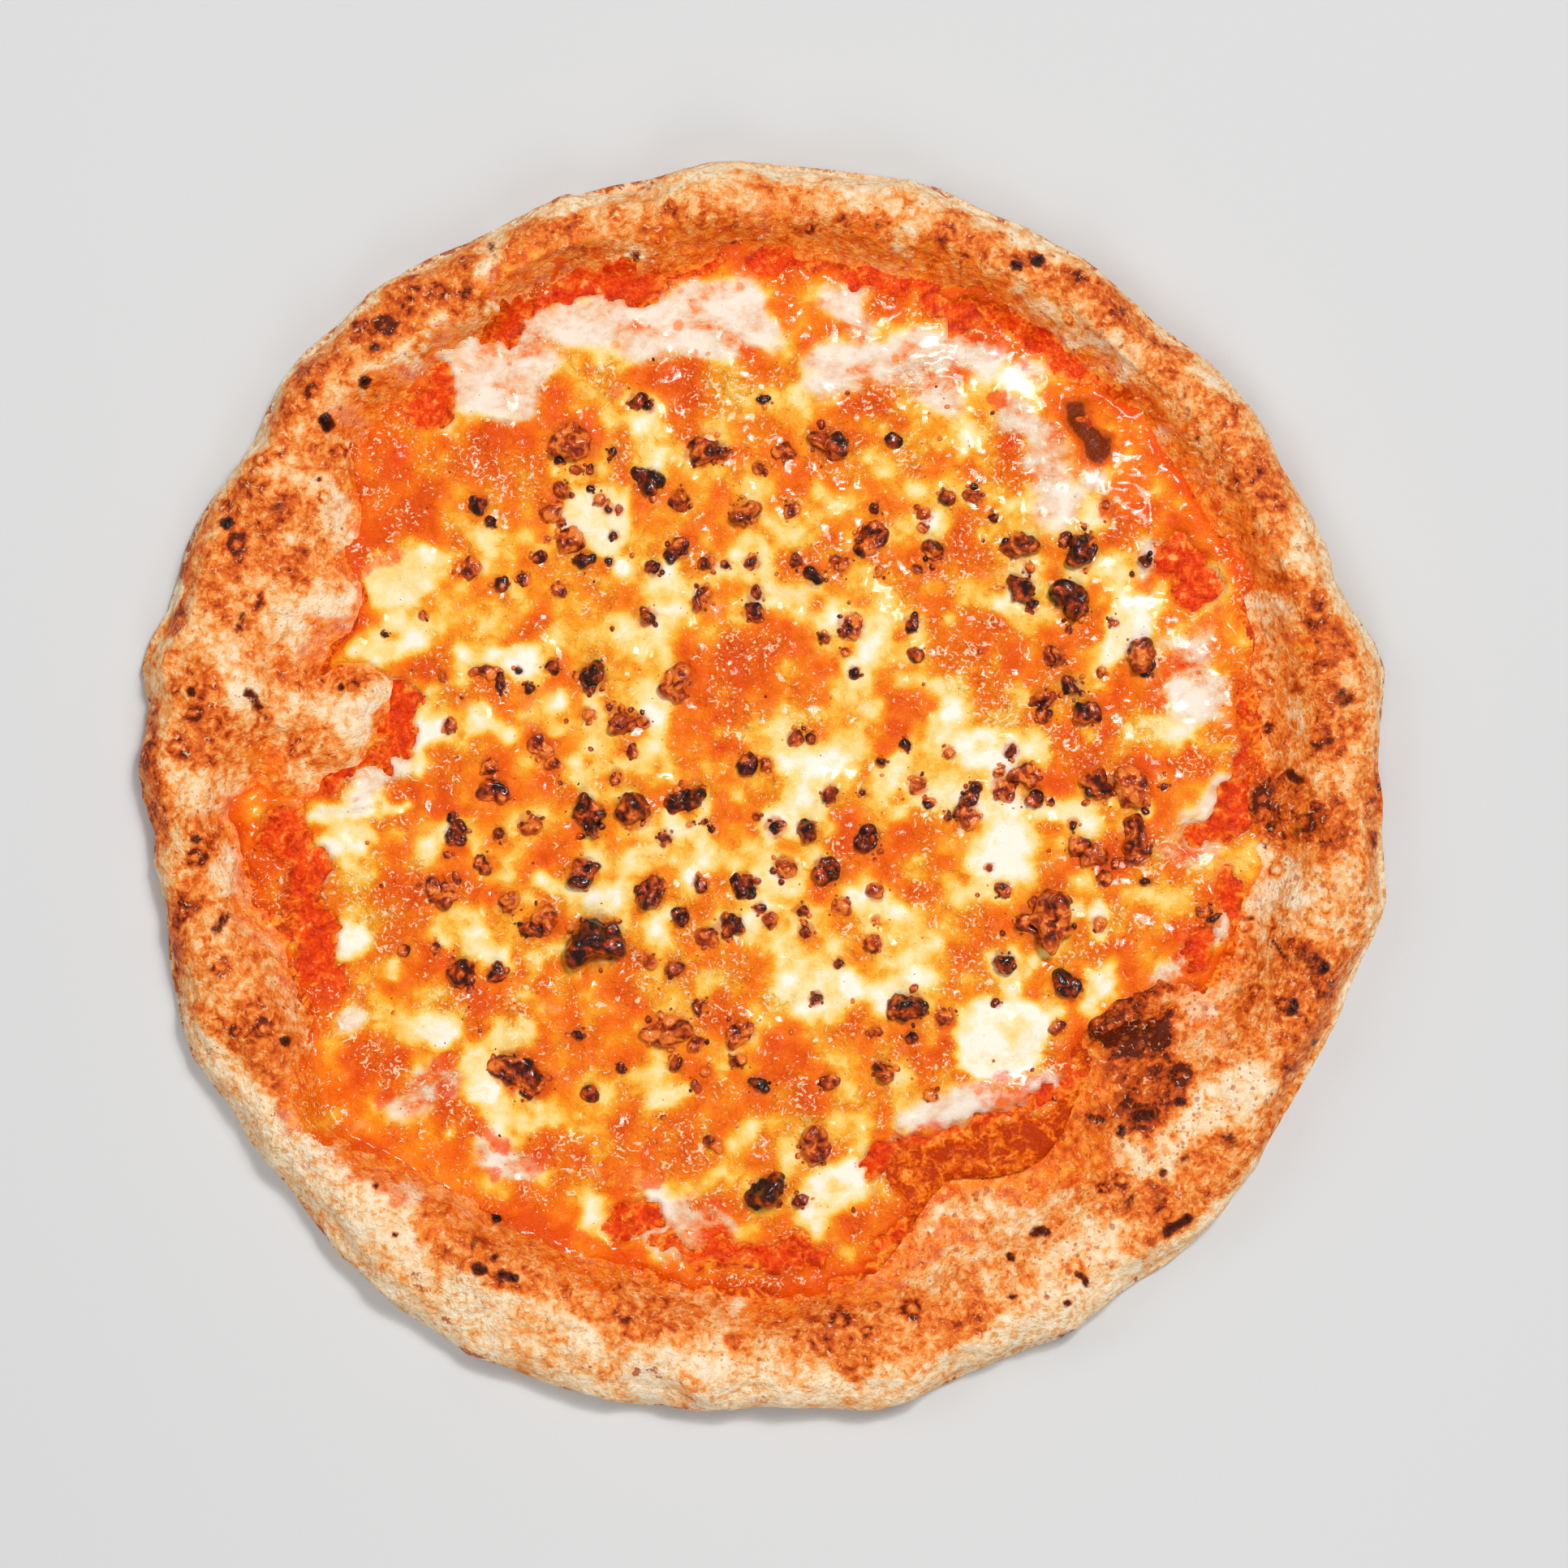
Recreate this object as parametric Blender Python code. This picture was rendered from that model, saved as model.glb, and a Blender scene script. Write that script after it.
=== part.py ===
"""A 14 inch class cheese pizza: baked dough with a raised rim, tomato sauce and toasted cheese.

Metres, +Z up. The flat underside of the dough lies on z = 0, and the pizza's outline is centred
on the origin. Angles run anticlockwise from +X, in degrees.
"""

import math
import random

import bmesh
import bpy
from mathutils import Matrix, Vector, noise

MM = 0.001

# Driving dimensions of the rim's section and of the layers.
OUTER_RADIUS = 170.6 * MM
CREST_RADIUS = 155.5 * MM
FOOT_RADIUS = 140.0 * MM
CREST_HEIGHT = 18.0 * MM
WIDEST_HEIGHT = 7.2 * MM
UNDERSIDE_SETBACK = 8.0 * MM
BASE_THICKNESS = 4.5 * MM
SAUCE_DEPTH = 1.2 * MM
CHEESE_DEPTH = 2.9 * MM
LAYER_GAP = 0.3 * MM
SAUCE_MARGIN = 1.2 * MM
CHEESE_MARGIN = 3.0 * MM
SAUCE_FLOOR = BASE_THICKNESS + LAYER_GAP
CHEESE_FLOOR = SAUCE_FLOOR + SAUCE_DEPTH + LAYER_GAP

# How finely the solids are divided.
ANGLE_STEPS = 132
SLOPE_STEPS = 7
SIDE_STEPS = 6
UNDER_STEPS = 3
CHEESE_RINGS = 7

# Hand-shaped dough: each swell is (angle, half width in degrees, size in mm).
OUTER_SWELLS = [
    (11, 4, 4.2), (20, 4, -2.0), (30, 4, -2.6), (50, 4, -2.2), (78, 8, 1.6), (95, 3, 3.4),
    (107, 4, 1.4), (126, 4, 2.4), (137, 5, 4.4), (155, 4, 2.0), (168, 3, 4.4), (176, 3, 1.6),
    (184, 3, -2.6), (192, 3, -2.6), (205, 4, 3.4), (243, 20, 5.4), (282, 4, 3.6), (299, 3, 2.8),
    (313, 5, 2.4), (349, 5, 4.2),
]
CREST_SWELLS = [(137, 8, 2.0), (205, 8, -4.0), (245, 24, -8.5), (285, 12, -3.0), (350, 10, 1.5)]
FOOT_SWELLS = [
    (0, 8, -4), (22, 5, 2), (45, 12, 4), (62, 10, 4), (80, 10, 5), (92, 5, 8), (111, 6, 12),
    (128, 8, 5), (138, 4, 4), (146, 4, -7), (157, 8, -23), (171, 6, -18), (184, 5, 6),
    (200, 6, -6), (218, 6, 13), (252, 18, -5), (295, 11, -26), (320, 13, -27), (345, 7, -3),
]
HEIGHT_SWELLS = [
    (11, 7, 1.4), (30, 6, -1.6), (50, 6, -1.2), (95, 6, 1.2), (137, 8, 1.6), (168, 6, 2.0),
    (192, 5, -1.8), (205, 7, 1.4), (245, 25, 1.8), (318, 9, -1.0), (349, 8, 2.2),
]
# Above zero the inner slope is a hollow trough, below zero a full cushion of dough.
SLOPE_SWELLS = [(157, 11, -0.55), (171, 6, -0.35), (294, 12, 1.3), (318, 9, -0.3)]
# Where the cheese stops short of the rim and leaves a band of sauce bare.
CHEESE_EDGE_SWELLS = [
    (8, 11, -5), (28, 6, -11), (95, 7, -5), (129, 5, -7), (168, 6, -20), (188, 9, -20),
    (203, 6, -7), (268, 22, -7),
]

# Big bubbles and hollows of the dough: (x, y, half width, height), in mm.
DOUGH_BUBBLES = [
    (102, -64, 10, 5.0), (106, -76, 7, -4.0), (-126, 50, 12, 1.6), (-137, 82, 9, 1.5),
    (147, -8, 9, 2.0), (90, 99, 6, -2.0), (-100, -128, 12, 1.2), (62, -124, 10, 1.2),
]
RELIEF_WAVE = 17.0 * MM
RELIEF_SIZE = 1.5 * MM
FINE_RELIEF_WAVE = 8.0 * MM
FINE_RELIEF_SIZE = 0.6 * MM

# Pools of thick cheese that stand a little proud: (x, y, half width), in mm.
CHEESE_POOLS = [
    (12, 5, 10), (-32, 22, 8), (-28, 45, 9), (-45, 0, 8), (5, -24, 8), (65, -67, 12),
    (-44, 73, 10), (-96, 62, 13), (-12, 128, 13), (102, 45, 8), (118, 21, 11), (-116, -16, 7),
    (-114, -43, 7), (-92, -66, 7), (20, -110, 10), (58, -90, 9), (-78, 17, 7),
]
POOL_HEIGHT = 0.9 * MM
# The lifted fold of cheese over the trough: (x, y, half width, height), in mm.
CHEESE_FOLD = [(42, -95, 7, 2.4), (58, -90, 7, 3.0), (73, -84, 7, 3.4), (84, -78, 6, 2.4)]
CHEESE_WAVE = 23.0 * MM
CHEESE_WAVE_HEIGHT = 1.0 * MM

# The larger toasted lumps of cheese: (x, y, half width), in mm.
TOASTED_LUMPS = [
    (-46, -42, 7.0), (77, -37, 6.5), (72, 1, 6.0), (-67, -79, 5.6), (84, 52, 5.0), (87, 65, 4.6),
    (104, 34, 4.6), (-27, -67, 5.0), (-48, -8, 4.4), (-35, -7, 4.5), (102, -15, 4.8),
    (40, -61, 4.2), (-31, -29, 4.4), (-47, 30, 4.2), (-24, 28, 4.0), (18, -23, 4.0), (91, 0, 4.4),
    (101, -1, 4.2), (89, 22, 4.0), (84, 29, 4.0), (70, 65, 4.4), (56, -6, 4.2), (-60, 9, 4.4),
    (-54, 94, 4.6), (18, 94, 4.5), (-16, 92, 4.2), (1, -111, 4.4), (14, -99, 4.0), (29, 68, 4.0),
    (-83, -51, 3.9), (-89, -28, 3.9), (-73, 0, 3.6), (-62, -37, 4.0), (-75, 30, 4.0), (-5, 74, 3.6),
    (-32, 85, 3.6), (-49, -23, 3.6), (-6, -67, 3.6), (-21, -3, 4.2), (-38, 18, 3.6), (24, 44, 3.6),
    (29, -14, 3.6), (-5, -27, 3.6), (88, -17, 3.6), (-9, -38, 3.4), (33, -78, 3.2), (83, -54, 3.4),
    (66, -48, 3.2), (80, 35, 3.2), (-53, 68, 3.2), (-57, 77, 3.0), (-46, 75, 3.0), (47, 64, 3.0),
    (-23, 65, 3.0), (58, 80, 3.0), (-64, -10, 3.0), (-84, -13, 3.0), (-70, -32, 3.0), (21, 61, 2.9),
    (-32, 47, 2.8), (-73, -51, 2.8), (6, -22, 3.0), (123, -35, 3.6), (107, 63, 3.4), (71, 53, 3.2),
]
BIG_LUMP = 3.9
LUMP_RISE = 0.72
LUMP_CLEARANCE = 0.6 * MM
LUMP_UNEVENNESS = 0.16
SEED = 14


def swell_sum(angle, swells):
    """Add smooth bumps around the circle, given in mm, and return metres."""
    total = 0.0
    for centre, half_width, size in swells:
        away = (angle - centre + 180.0) % 360.0 - 180.0
        total += size * math.exp(-((away / half_width) ** 2))
    return total * MM


def mound_sum(x, y, mounds):
    """Add round mounds at a point, each (x, y, half width, height) in mm, and return metres."""
    total = 0.0
    for centre_x, centre_y, half_width, height in mounds:
        away = math.hypot(x / MM - centre_x, y / MM - centre_y)
        total += height * math.exp(-((away / half_width) ** 2))
    return total * MM


def waves(x, y, z, wave):
    """Smooth uneven waves between -1 and 1, about one wave length across."""
    return 2.0 * noise.noise(Vector((x, y, z)) / wave)


def foot_radius(angle):
    """Radius where the rim's inner slope meets the flat floor of the dough."""
    return FOOT_RADIUS + swell_sum(angle, FOOT_SWELLS)


def sauce_radius(angle):
    """Radius of the sauce, just inside the rim's foot."""
    return foot_radius(angle) - SAUCE_MARGIN


def cheese_radius(angle):
    """Radius of the cheese, which leaves a band of sauce bare in places."""
    return foot_radius(angle) - CHEESE_MARGIN + swell_sum(angle, CHEESE_EDGE_SWELLS)


def rim_section(angle):
    """List the rim's (radius, height) points from its foot over the crest to the underside."""
    foot = foot_radius(angle)
    crest = CREST_RADIUS + swell_sum(angle, CREST_SWELLS)
    outer = OUTER_RADIUS + swell_sum(angle, OUTER_SWELLS)
    top = CREST_HEIGHT + swell_sum(angle, HEIGHT_SWELLS)
    hollowness = 2.0 * (1.0 + swell_sum(angle, SLOPE_SWELLS) / MM)
    points = []
    for step in range(SLOPE_STEPS):
        part = step / SLOPE_STEPS
        rise = math.sin(part * math.pi / 2) ** hollowness
        points.append((foot + (crest - foot) * part, BASE_THICKNESS + (top - BASE_THICKNESS) * rise))
    for step in range(SIDE_STEPS + 1):
        turn = step / SIDE_STEPS * math.pi / 2
        height = WIDEST_HEIGHT + (top - WIDEST_HEIGHT) * math.cos(turn)
        points.append((crest + (outer - crest) * math.sin(turn), height))
    for step in range(1, UNDER_STEPS + 1):
        turn = step / UNDER_STEPS * math.pi / 2
        setback = UNDERSIDE_SETBACK * (1.0 - math.cos(turn))
        points.append((outer - setback, WIDEST_HEIGHT * (1.0 - math.sin(turn))))
    return points


def lumpy_section(angle):
    """Give the rim's section its hand-shaped unevenness, as 3-D points."""
    section = rim_section(angle)
    turn = math.radians(angle)
    points = []
    for index, (radius, height) in enumerate(section):
        fade = math.sin(math.pi * index / (len(section) - 1))
        x = radius * math.cos(turn)
        y = radius * math.sin(turn)
        lump = RELIEF_SIZE * waves(x, y, height, RELIEF_WAVE)
        lump += FINE_RELIEF_SIZE * waves(x, y, height, FINE_RELIEF_WAVE)
        outward = Vector((radius - CREST_RADIUS, height - WIDEST_HEIGHT)).normalized()
        radius += outward.x * lump * fade
        height += outward.y * lump * fade + mound_sum(x, y, DOUGH_BUBBLES) * fade
        points.append(Vector((radius * math.cos(turn), radius * math.sin(turn), height)))
    return points


def ring(radius_at, height_at):
    """Make one closed ring of points round the pizza."""
    points = []
    for step in range(ANGLE_STEPS):
        angle = step * 360.0 / ANGLE_STEPS
        radius = radius_at(angle)
        x = radius * math.cos(math.radians(angle))
        y = radius * math.sin(math.radians(angle))
        points.append(Vector((x, y, height_at(x, y))))
    return points


def closed_loft(name, rings, first_centre, last_centre):
    """Skin a list of equal rings and close both ends with a fan round a centre point."""
    mesh_data = bmesh.new()
    skins = [[mesh_data.verts.new(point) for point in points] for points in rings]
    for near, far in zip(skins, skins[1:]):
        for index in range(ANGLE_STEPS):
            after = (index + 1) % ANGLE_STEPS
            mesh_data.faces.new((near[index], near[after], far[after]))
            mesh_data.faces.new((near[index], far[after], far[index]))
    for centre, skin in ((first_centre, skins[0]), (last_centre, skins[-1])):
        middle = mesh_data.verts.new(centre)
        for index in range(ANGLE_STEPS):
            mesh_data.faces.new((middle, skin[index], skin[(index + 1) % ANGLE_STEPS]))
    bmesh.ops.recalc_face_normals(mesh_data, faces=mesh_data.faces)
    mesh = bpy.data.meshes.new(name)
    mesh_data.to_mesh(mesh)
    mesh_data.free()
    solid = bpy.data.objects.new(name, mesh)
    bpy.context.scene.collection.objects.link(solid)
    return solid


def give_material(solid, colour, roughness, subsurface=0.0):
    """Give a solid its own plain material."""
    material = bpy.data.materials.new(solid.name)
    material.use_nodes = True
    shader = material.node_tree.nodes["Principled BSDF"]
    shader.inputs["Base Color"].default_value = (*colour, 1.0)
    shader.inputs["Roughness"].default_value = roughness
    shader.inputs["Metallic"].default_value = 0.0
    shader.inputs["Subsurface Weight"].default_value = subsurface
    solid.data.materials.clear()
    solid.data.materials.append(material)
    solid.data.shade_smooth()


def make_crust():
    """The dough: a flat round floor that swells into the uneven, browned rim."""
    sections = [lumpy_section(step * 360.0 / ANGLE_STEPS) for step in range(ANGLE_STEPS)]
    rings = [list(points) for points in zip(*sections)]
    crust = closed_loft("crust", rings, (0.0, 0.0, BASE_THICKNESS), (0.0, 0.0, 0.0))
    give_material(crust, (0.68, 0.30, 0.11), 0.62)
    return crust


def make_sauce():
    """The thin layer of tomato sauce on the dough's floor."""
    top = SAUCE_FLOOR + SAUCE_DEPTH
    edge = SAUCE_DEPTH / 2
    rings = [
        ring(sauce_radius, lambda x, y: SAUCE_FLOOR),
        ring(sauce_radius, lambda x, y: top - edge),
        ring(lambda angle: sauce_radius(angle) - edge, lambda x, y: top),
    ]
    sauce = closed_loft("sauce", rings, (0.0, 0.0, SAUCE_FLOOR), (0.0, 0.0, top))
    give_material(sauce, (0.62, 0.07, 0.02), 0.3)
    return sauce


def cheese_top(x, y):
    """Height of the melted cheese's surface, away from its thin edge."""
    pools = [(pool_x, pool_y, size, POOL_HEIGHT / MM) for pool_x, pool_y, size in CHEESE_POOLS]
    wave = CHEESE_WAVE_HEIGHT * waves(x, y, 0.0, CHEESE_WAVE)
    return CHEESE_FLOOR + CHEESE_DEPTH + wave + mound_sum(x, y, pools + CHEESE_FOLD)


def make_cheese_sheet():
    """The melted sheet of cheese, thin at its edge and gently uneven on top."""
    lip = CHEESE_DEPTH / 3
    lip_top = CHEESE_FLOOR + lip
    rings = [
        ring(lambda angle: cheese_radius(angle) - lip, lambda x, y: CHEESE_FLOOR),
        ring(cheese_radius, lambda x, y: lip_top),
        ring(lambda angle: cheese_radius(angle) - lip, lambda x, y: (lip_top + cheese_top(x, y)) / 2),
    ]
    for step in range(CHEESE_RINGS):
        part = 1.0 - step / CHEESE_RINGS
        rings.append(ring(lambda angle: (cheese_radius(angle) - 4 * lip) * part, cheese_top))
    centre = (0.0, 0.0, cheese_top(0.0, 0.0))
    return closed_loft("cheese", rings, (0.0, 0.0, CHEESE_FLOOR), centre)


def make_lump(place, half_width, draw, collection):
    """One toasted lump: an uneven, slightly flattened ball half sunk in the cheese."""
    ball = bmesh.new()
    if half_width > BIG_LUMP:
        bmesh.ops.create_icosphere(ball, subdivisions=2, radius=1.0)
    else:
        bmesh.ops.create_uvsphere(ball, u_segments=6, v_segments=3, radius=1.0)
    for corner in ball.verts:
        corner.co *= 1.0 + draw.uniform(-LUMP_UNEVENNESS, LUMP_UNEVENNESS)
    stretch = draw.uniform(0.82, 1.12)
    size = Matrix.Diagonal((half_width * MM * stretch, half_width * MM / stretch,
                            half_width * MM * LUMP_RISE, 1.0))
    turn = Matrix.Rotation(draw.uniform(0.0, math.pi), 4, "Z")
    ball.transform(Matrix.Translation(place) @ turn @ size)
    for corner in ball.verts:
        corner.co.z = max(corner.co.z, CHEESE_FLOOR + LUMP_CLEARANCE)
    bmesh.ops.triangulate(ball, faces=ball.faces)
    mesh = bpy.data.meshes.new("toasted_lump")
    ball.to_mesh(mesh)
    ball.free()
    collection.objects.link(bpy.data.objects.new("toasted_lump", mesh))


def fuse(solid, collection):
    """Join a collection's solids to one solid and remove them."""
    union = solid.modifiers.new("fuse", "BOOLEAN")
    union.operation = "UNION"
    union.operand_type = "COLLECTION"
    union.collection = collection
    union.solver = "EXACT"
    bpy.context.view_layer.update()
    fused = bpy.data.meshes.new_from_object(solid.evaluated_get(bpy.context.evaluated_depsgraph_get()))
    solid.modifiers.clear()
    solid.data = fused
    for piece in list(collection.objects):
        bpy.data.objects.remove(piece, do_unlink=True)
    bpy.data.collections.remove(collection)


def make_cheese():
    """The cheese sheet with its larger toasted lumps fused on."""
    sheet = make_cheese_sheet()
    draw = random.Random(SEED)
    lumps = bpy.data.collections.new("toasted_lumps")
    bpy.context.scene.collection.children.link(lumps)
    for x, y, half_width in TOASTED_LUMPS:
        place = Vector((x * MM, y * MM, cheese_top(x * MM, y * MM)))
        make_lump(place, half_width, draw, lumps)
    fuse(sheet, lumps)
    give_material(sheet, (0.90, 0.42, 0.12), 0.32, subsurface=0.1)
    return sheet


def centre_on_origin(solids, guide):
    """Shift every solid alike, so that the guide's outline is centred on the Z axis."""
    spans = [[corner.co[axis] for corner in guide.data.vertices] for axis in range(2)]
    middle = [(min(span) + max(span)) / 2 for span in spans]
    for solid in solids:
        solid.location = (-middle[0], -middle[1], 0.0)


def main():
    for leftover in list(bpy.data.objects):
        bpy.data.objects.remove(leftover, do_unlink=True)
    crust = make_crust()
    sauce = make_sauce()
    cheese = make_cheese()
    centre_on_origin((crust, sauce, cheese), crust)


main()
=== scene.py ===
"""Dresses a baked cheese pizza: blistered dough rim, glossy tomato sauce, melted and toasted cheese.

Places are in mm on the pizza's plan, with +X to the right and +Y up the plan, unless a name says
otherwise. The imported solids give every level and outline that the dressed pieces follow.
"""

import math

import bpy
import numpy as np
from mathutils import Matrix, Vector
from mathutils.bvhtree import BVHTree


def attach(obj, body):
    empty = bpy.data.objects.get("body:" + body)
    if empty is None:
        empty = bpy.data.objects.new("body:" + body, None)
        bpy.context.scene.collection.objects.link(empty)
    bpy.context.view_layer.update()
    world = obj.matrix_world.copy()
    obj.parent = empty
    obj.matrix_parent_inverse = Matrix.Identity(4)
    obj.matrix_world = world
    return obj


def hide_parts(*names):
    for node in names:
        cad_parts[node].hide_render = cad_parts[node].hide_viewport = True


bl_info = {
    "name": "Cheese pizza",
    "version": (1, 0, 0),
    "blender": (4, 5, 0),
    "location": "3D View > Sidebar > Pizza",
    "description": "Makes a whole baked cheese pizza with a blistered rim and toasted cheese",
    "category": "Object",
}

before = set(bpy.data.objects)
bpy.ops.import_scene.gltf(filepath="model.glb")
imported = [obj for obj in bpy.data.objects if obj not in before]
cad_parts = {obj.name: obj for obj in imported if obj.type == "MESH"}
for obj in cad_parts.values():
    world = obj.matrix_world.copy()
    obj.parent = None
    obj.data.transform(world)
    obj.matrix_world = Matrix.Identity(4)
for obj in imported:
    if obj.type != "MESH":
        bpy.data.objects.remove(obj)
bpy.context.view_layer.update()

MM = 0.001
# The plan's origin lies this far from the middle of the outline.
PLAN_SHIFT = np.array([0.3, -0.6, 0.0])
SEED = 14

# Spacing of the fine sheets, and how far their grid reaches from the middle.
CHEESE_PITCH = 0.88
SAUCE_PITCH = 1.5
SHEET_REACH = 165.0
# How far the sheets run on over the foot of the rim.
CHEESE_OVERLAP = 6.0
SAUCE_OVERLAP = 7.0
# The rim's fine grid: turns round it and rows over it.
CRUST_TURNS = 1130
CRUST_ROWS = 88
# The crust piece reaches this far under the cheese, most of it with a few coarse rows.
FLOOR_REACH = 24.0
COARSE_REACH = FLOOR_REACH - 6.0
FLOOR_ROWS = 13
# Sections read from the solid rim: steps over its top, then rays from its core to the outer side,
# from one lift in degrees to the other.
SECTION_TURNS = 300
SECTION_STEPS = 56
SECTION_RAYS = 30
RAY_LIFTS = (85.0, -62.0)
CORE_DEPTH = 16.0
CORE_HEIGHT = 7.0
# Grid on which the solids' heights are read, and steps of angle for their outlines.
LEVEL_PITCH = 2.0
LEVEL_REACH = 184.0
OUTLINE_BINS = 120

# Levels above the table.
DOUGH_FLOOR = 4.5
SAUCE_UNDERSIDE = DOUGH_FLOOR + 0.1
SAUCE_LOWEST = DOUGH_FLOOR + 0.3
SAUCE_TOP = 6.0
CHEESE_UNDERSIDE = SAUCE_TOP - 1.4
CHEESE_LOWEST = SAUCE_TOP - 1.3

# How unevenly each kind of patch wanders: (wave length, reach, seed).
CHEESE_WANDER = (12.0, 3.6, 51)
BARE_SAUCE_WANDER = (7.0, 3.6, 33)
POCKET_WANDER = (7.0, 2.0, 25)
FOOT_WANDER = (7.0, 2.0, 26)
DOUGH_WANDER = (8.0, 2.0, 24)

# The camera stands this far from the plan's origin, and its frame is measured at this level.
CAMERA_OFFSET = (5.8, 0.9)
FRAMED_LEVEL = 7.2


# ---------------------------------------------------------------------------------------------
# Uneven fields
# ---------------------------------------------------------------------------------------------

def lattice(cells, seed):
    """Repeatable numbers from -1 to 1, one for each whole-number place."""
    mixed = cells[:, 0] * 374761393 + cells[:, 1] * 668265263 + cells[:, 2] * 1013904223 + seed * 69069
    mixed = (mixed ^ (mixed >> 13)) & 0x7FFFFFFF
    mixed = (mixed * 1274126177) & 0x7FFFFFFF
    mixed = mixed ^ (mixed >> 15)
    return (mixed & 0xFFFF) / 32767.5 - 1.0


def lumps(places, wave, seed):
    """Smooth lumps from -1 to 1, about one per wave length."""
    scaled = places / wave + 0.37 * seed
    cells = np.floor(scaled).astype(np.int64)
    part = scaled - cells
    part = part * part * (3.0 - 2.0 * part)
    total = np.zeros(len(places))
    for corner in range(8):
        step = np.array([corner & 1, (corner >> 1) & 1, corner >> 2])
        weight = np.prod(np.where(step, part, 1.0 - part), axis=1)
        total += weight * lattice(cells + step, seed)
    return total


def layered(places, wave, layers, seed):
    """Lumps with finer and weaker lumps on them."""
    return sum(lumps(places, wave / 2 ** layer, seed + layer) * 0.6 ** layer for layer in range(layers))


def wander(places, wave, reach, seed):
    """Shift places sideways, so that what is laid at them gets an uneven outline."""
    moved = places.copy()
    moved[:, 0] += reach * layered(places, wave, 3, seed)
    moved[:, 1] += reach * layered(places, wave, 3, seed + 50)
    return moved


def soft_step(part):
    """Ease from 0 to 1, flat beyond both ends."""
    part = np.clip(part, 0.0, 1.0)
    return part * part * (3.0 - 2.0 * part)


def dab(places, x, y, half_width, edge, length=0.0, turn=0.0):
    """How much a round or long dab covers each place, from 0 to 1."""
    heading = math.radians(turn)
    east = places[:, 0] - x
    north = places[:, 1] - y
    along = east * math.cos(heading) + north * math.sin(heading)
    across = north * math.cos(heading) - east * math.sin(heading)
    beyond = np.maximum(np.abs(along) - length / 2, 0.0)
    away = np.hypot(beyond, across)
    return soft_step((half_width + edge - away) / (2 * edge))


def lay_dabs(field, places, dabs, edge):
    """Lay dabs one on another: each (x, y, half width, value[, length, turn in degrees])."""
    for x, y, half_width, value, *shape in dabs:
        field += (value - field) * dab(places, x, y, half_width, edge, *shape)
    return field


def laid(places, dabs, edge):
    """Where dabs lie, from 0 to 1, whatever their own values."""
    return lay_dabs(np.zeros(len(places)), places, [item[:3] + (1.0,) + item[4:] for item in dabs], edge)


def add_mounds(places, mounds):
    """Sum of round mounds: each (x, y, half width, height[, length, turn in degrees])."""
    total = np.zeros(len(places))
    for x, y, half_width, height, *shape in mounds:
        total += height * dab(places, x, y, half_width * 0.55, half_width * 0.55, *shape)
    return total


def seeded_places(count, low, high, keep_apart, seed):
    """Places spread over a ring of the pizza, none nearer to another than keep_apart."""
    draw = np.random.default_rng(seed)
    kept = []
    for _ in range(count * 30):
        radius = math.sqrt(draw.uniform(low ** 2, high ** 2))
        angle = draw.uniform(0.0, 2 * math.pi)
        place = (radius * math.cos(angle), radius * math.sin(angle))
        if all(math.dist(place, other) > keep_apart for other in kept):
            kept.append(place)
        if len(kept) == count:
            break
    return kept


# ---------------------------------------------------------------------------------------------
# Levels and outlines of the solids
# ---------------------------------------------------------------------------------------------

def corners_of(mesh):
    """Corners of a mesh, in mm."""
    corners = np.empty(len(mesh.vertices) * 3)
    mesh.vertices.foreach_get("co", corners)
    return corners.reshape(-1, 3) / MM


def node_tree(name):
    """Search tree of a solid's surface, in metres."""
    return BVHTree.FromObject(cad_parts[name], bpy.context.evaluated_depsgraph_get())


def blurred(grid, passes):
    """Average each cell with its neighbours."""
    for _ in range(passes):
        for axis in (0, 1):
            grid = (np.roll(grid, 1, axis) + 2 * grid + np.roll(grid, -1, axis)) / 4
    return grid


def lowered(grid, passes):
    """Take each cell down to its lowest neighbour, which removes narrow lumps."""
    for _ in range(passes):
        for axis in (0, 1):
            grid = np.minimum(np.minimum(np.roll(grid, 1, axis), grid), np.roll(grid, -1, axis))
    return grid


class Level:
    """Height of a solid's top over the plan, without its facets."""

    def __init__(self, name, outside, lower_passes=0, blur_passes=3):
        tree = node_tree(name)
        self.ticks = np.arange(-LEVEL_REACH, LEVEL_REACH + LEVEL_PITCH, LEVEL_PITCH)
        grid = np.full((len(self.ticks), len(self.ticks)), outside)
        down = Vector((0.0, 0.0, -1.0))
        for row, x in enumerate(self.ticks):
            for column, y in enumerate(self.ticks):
                hit = tree.ray_cast(Vector((x * MM, y * MM, 0.1)), down)[0]
                if hit:
                    grid[row, column] = hit.z / MM
        self.grid = blurred(lowered(grid, lower_passes), blur_passes)

    def at(self, places):
        """Height in mm at each place."""
        column = np.clip((places[:, 0] + LEVEL_REACH) / LEVEL_PITCH, 0, len(self.ticks) - 1.001)
        row = np.clip((places[:, 1] + LEVEL_REACH) / LEVEL_PITCH, 0, len(self.ticks) - 1.001)
        i = column.astype(int)
        j = row.astype(int)
        u = column - i
        v = row - j
        near = self.grid[i, j] * (1 - u) + self.grid[i + 1, j] * u
        far = self.grid[i, j + 1] * (1 - u) + self.grid[i + 1, j + 1] * u
        return near * (1 - v) + far * v


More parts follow.
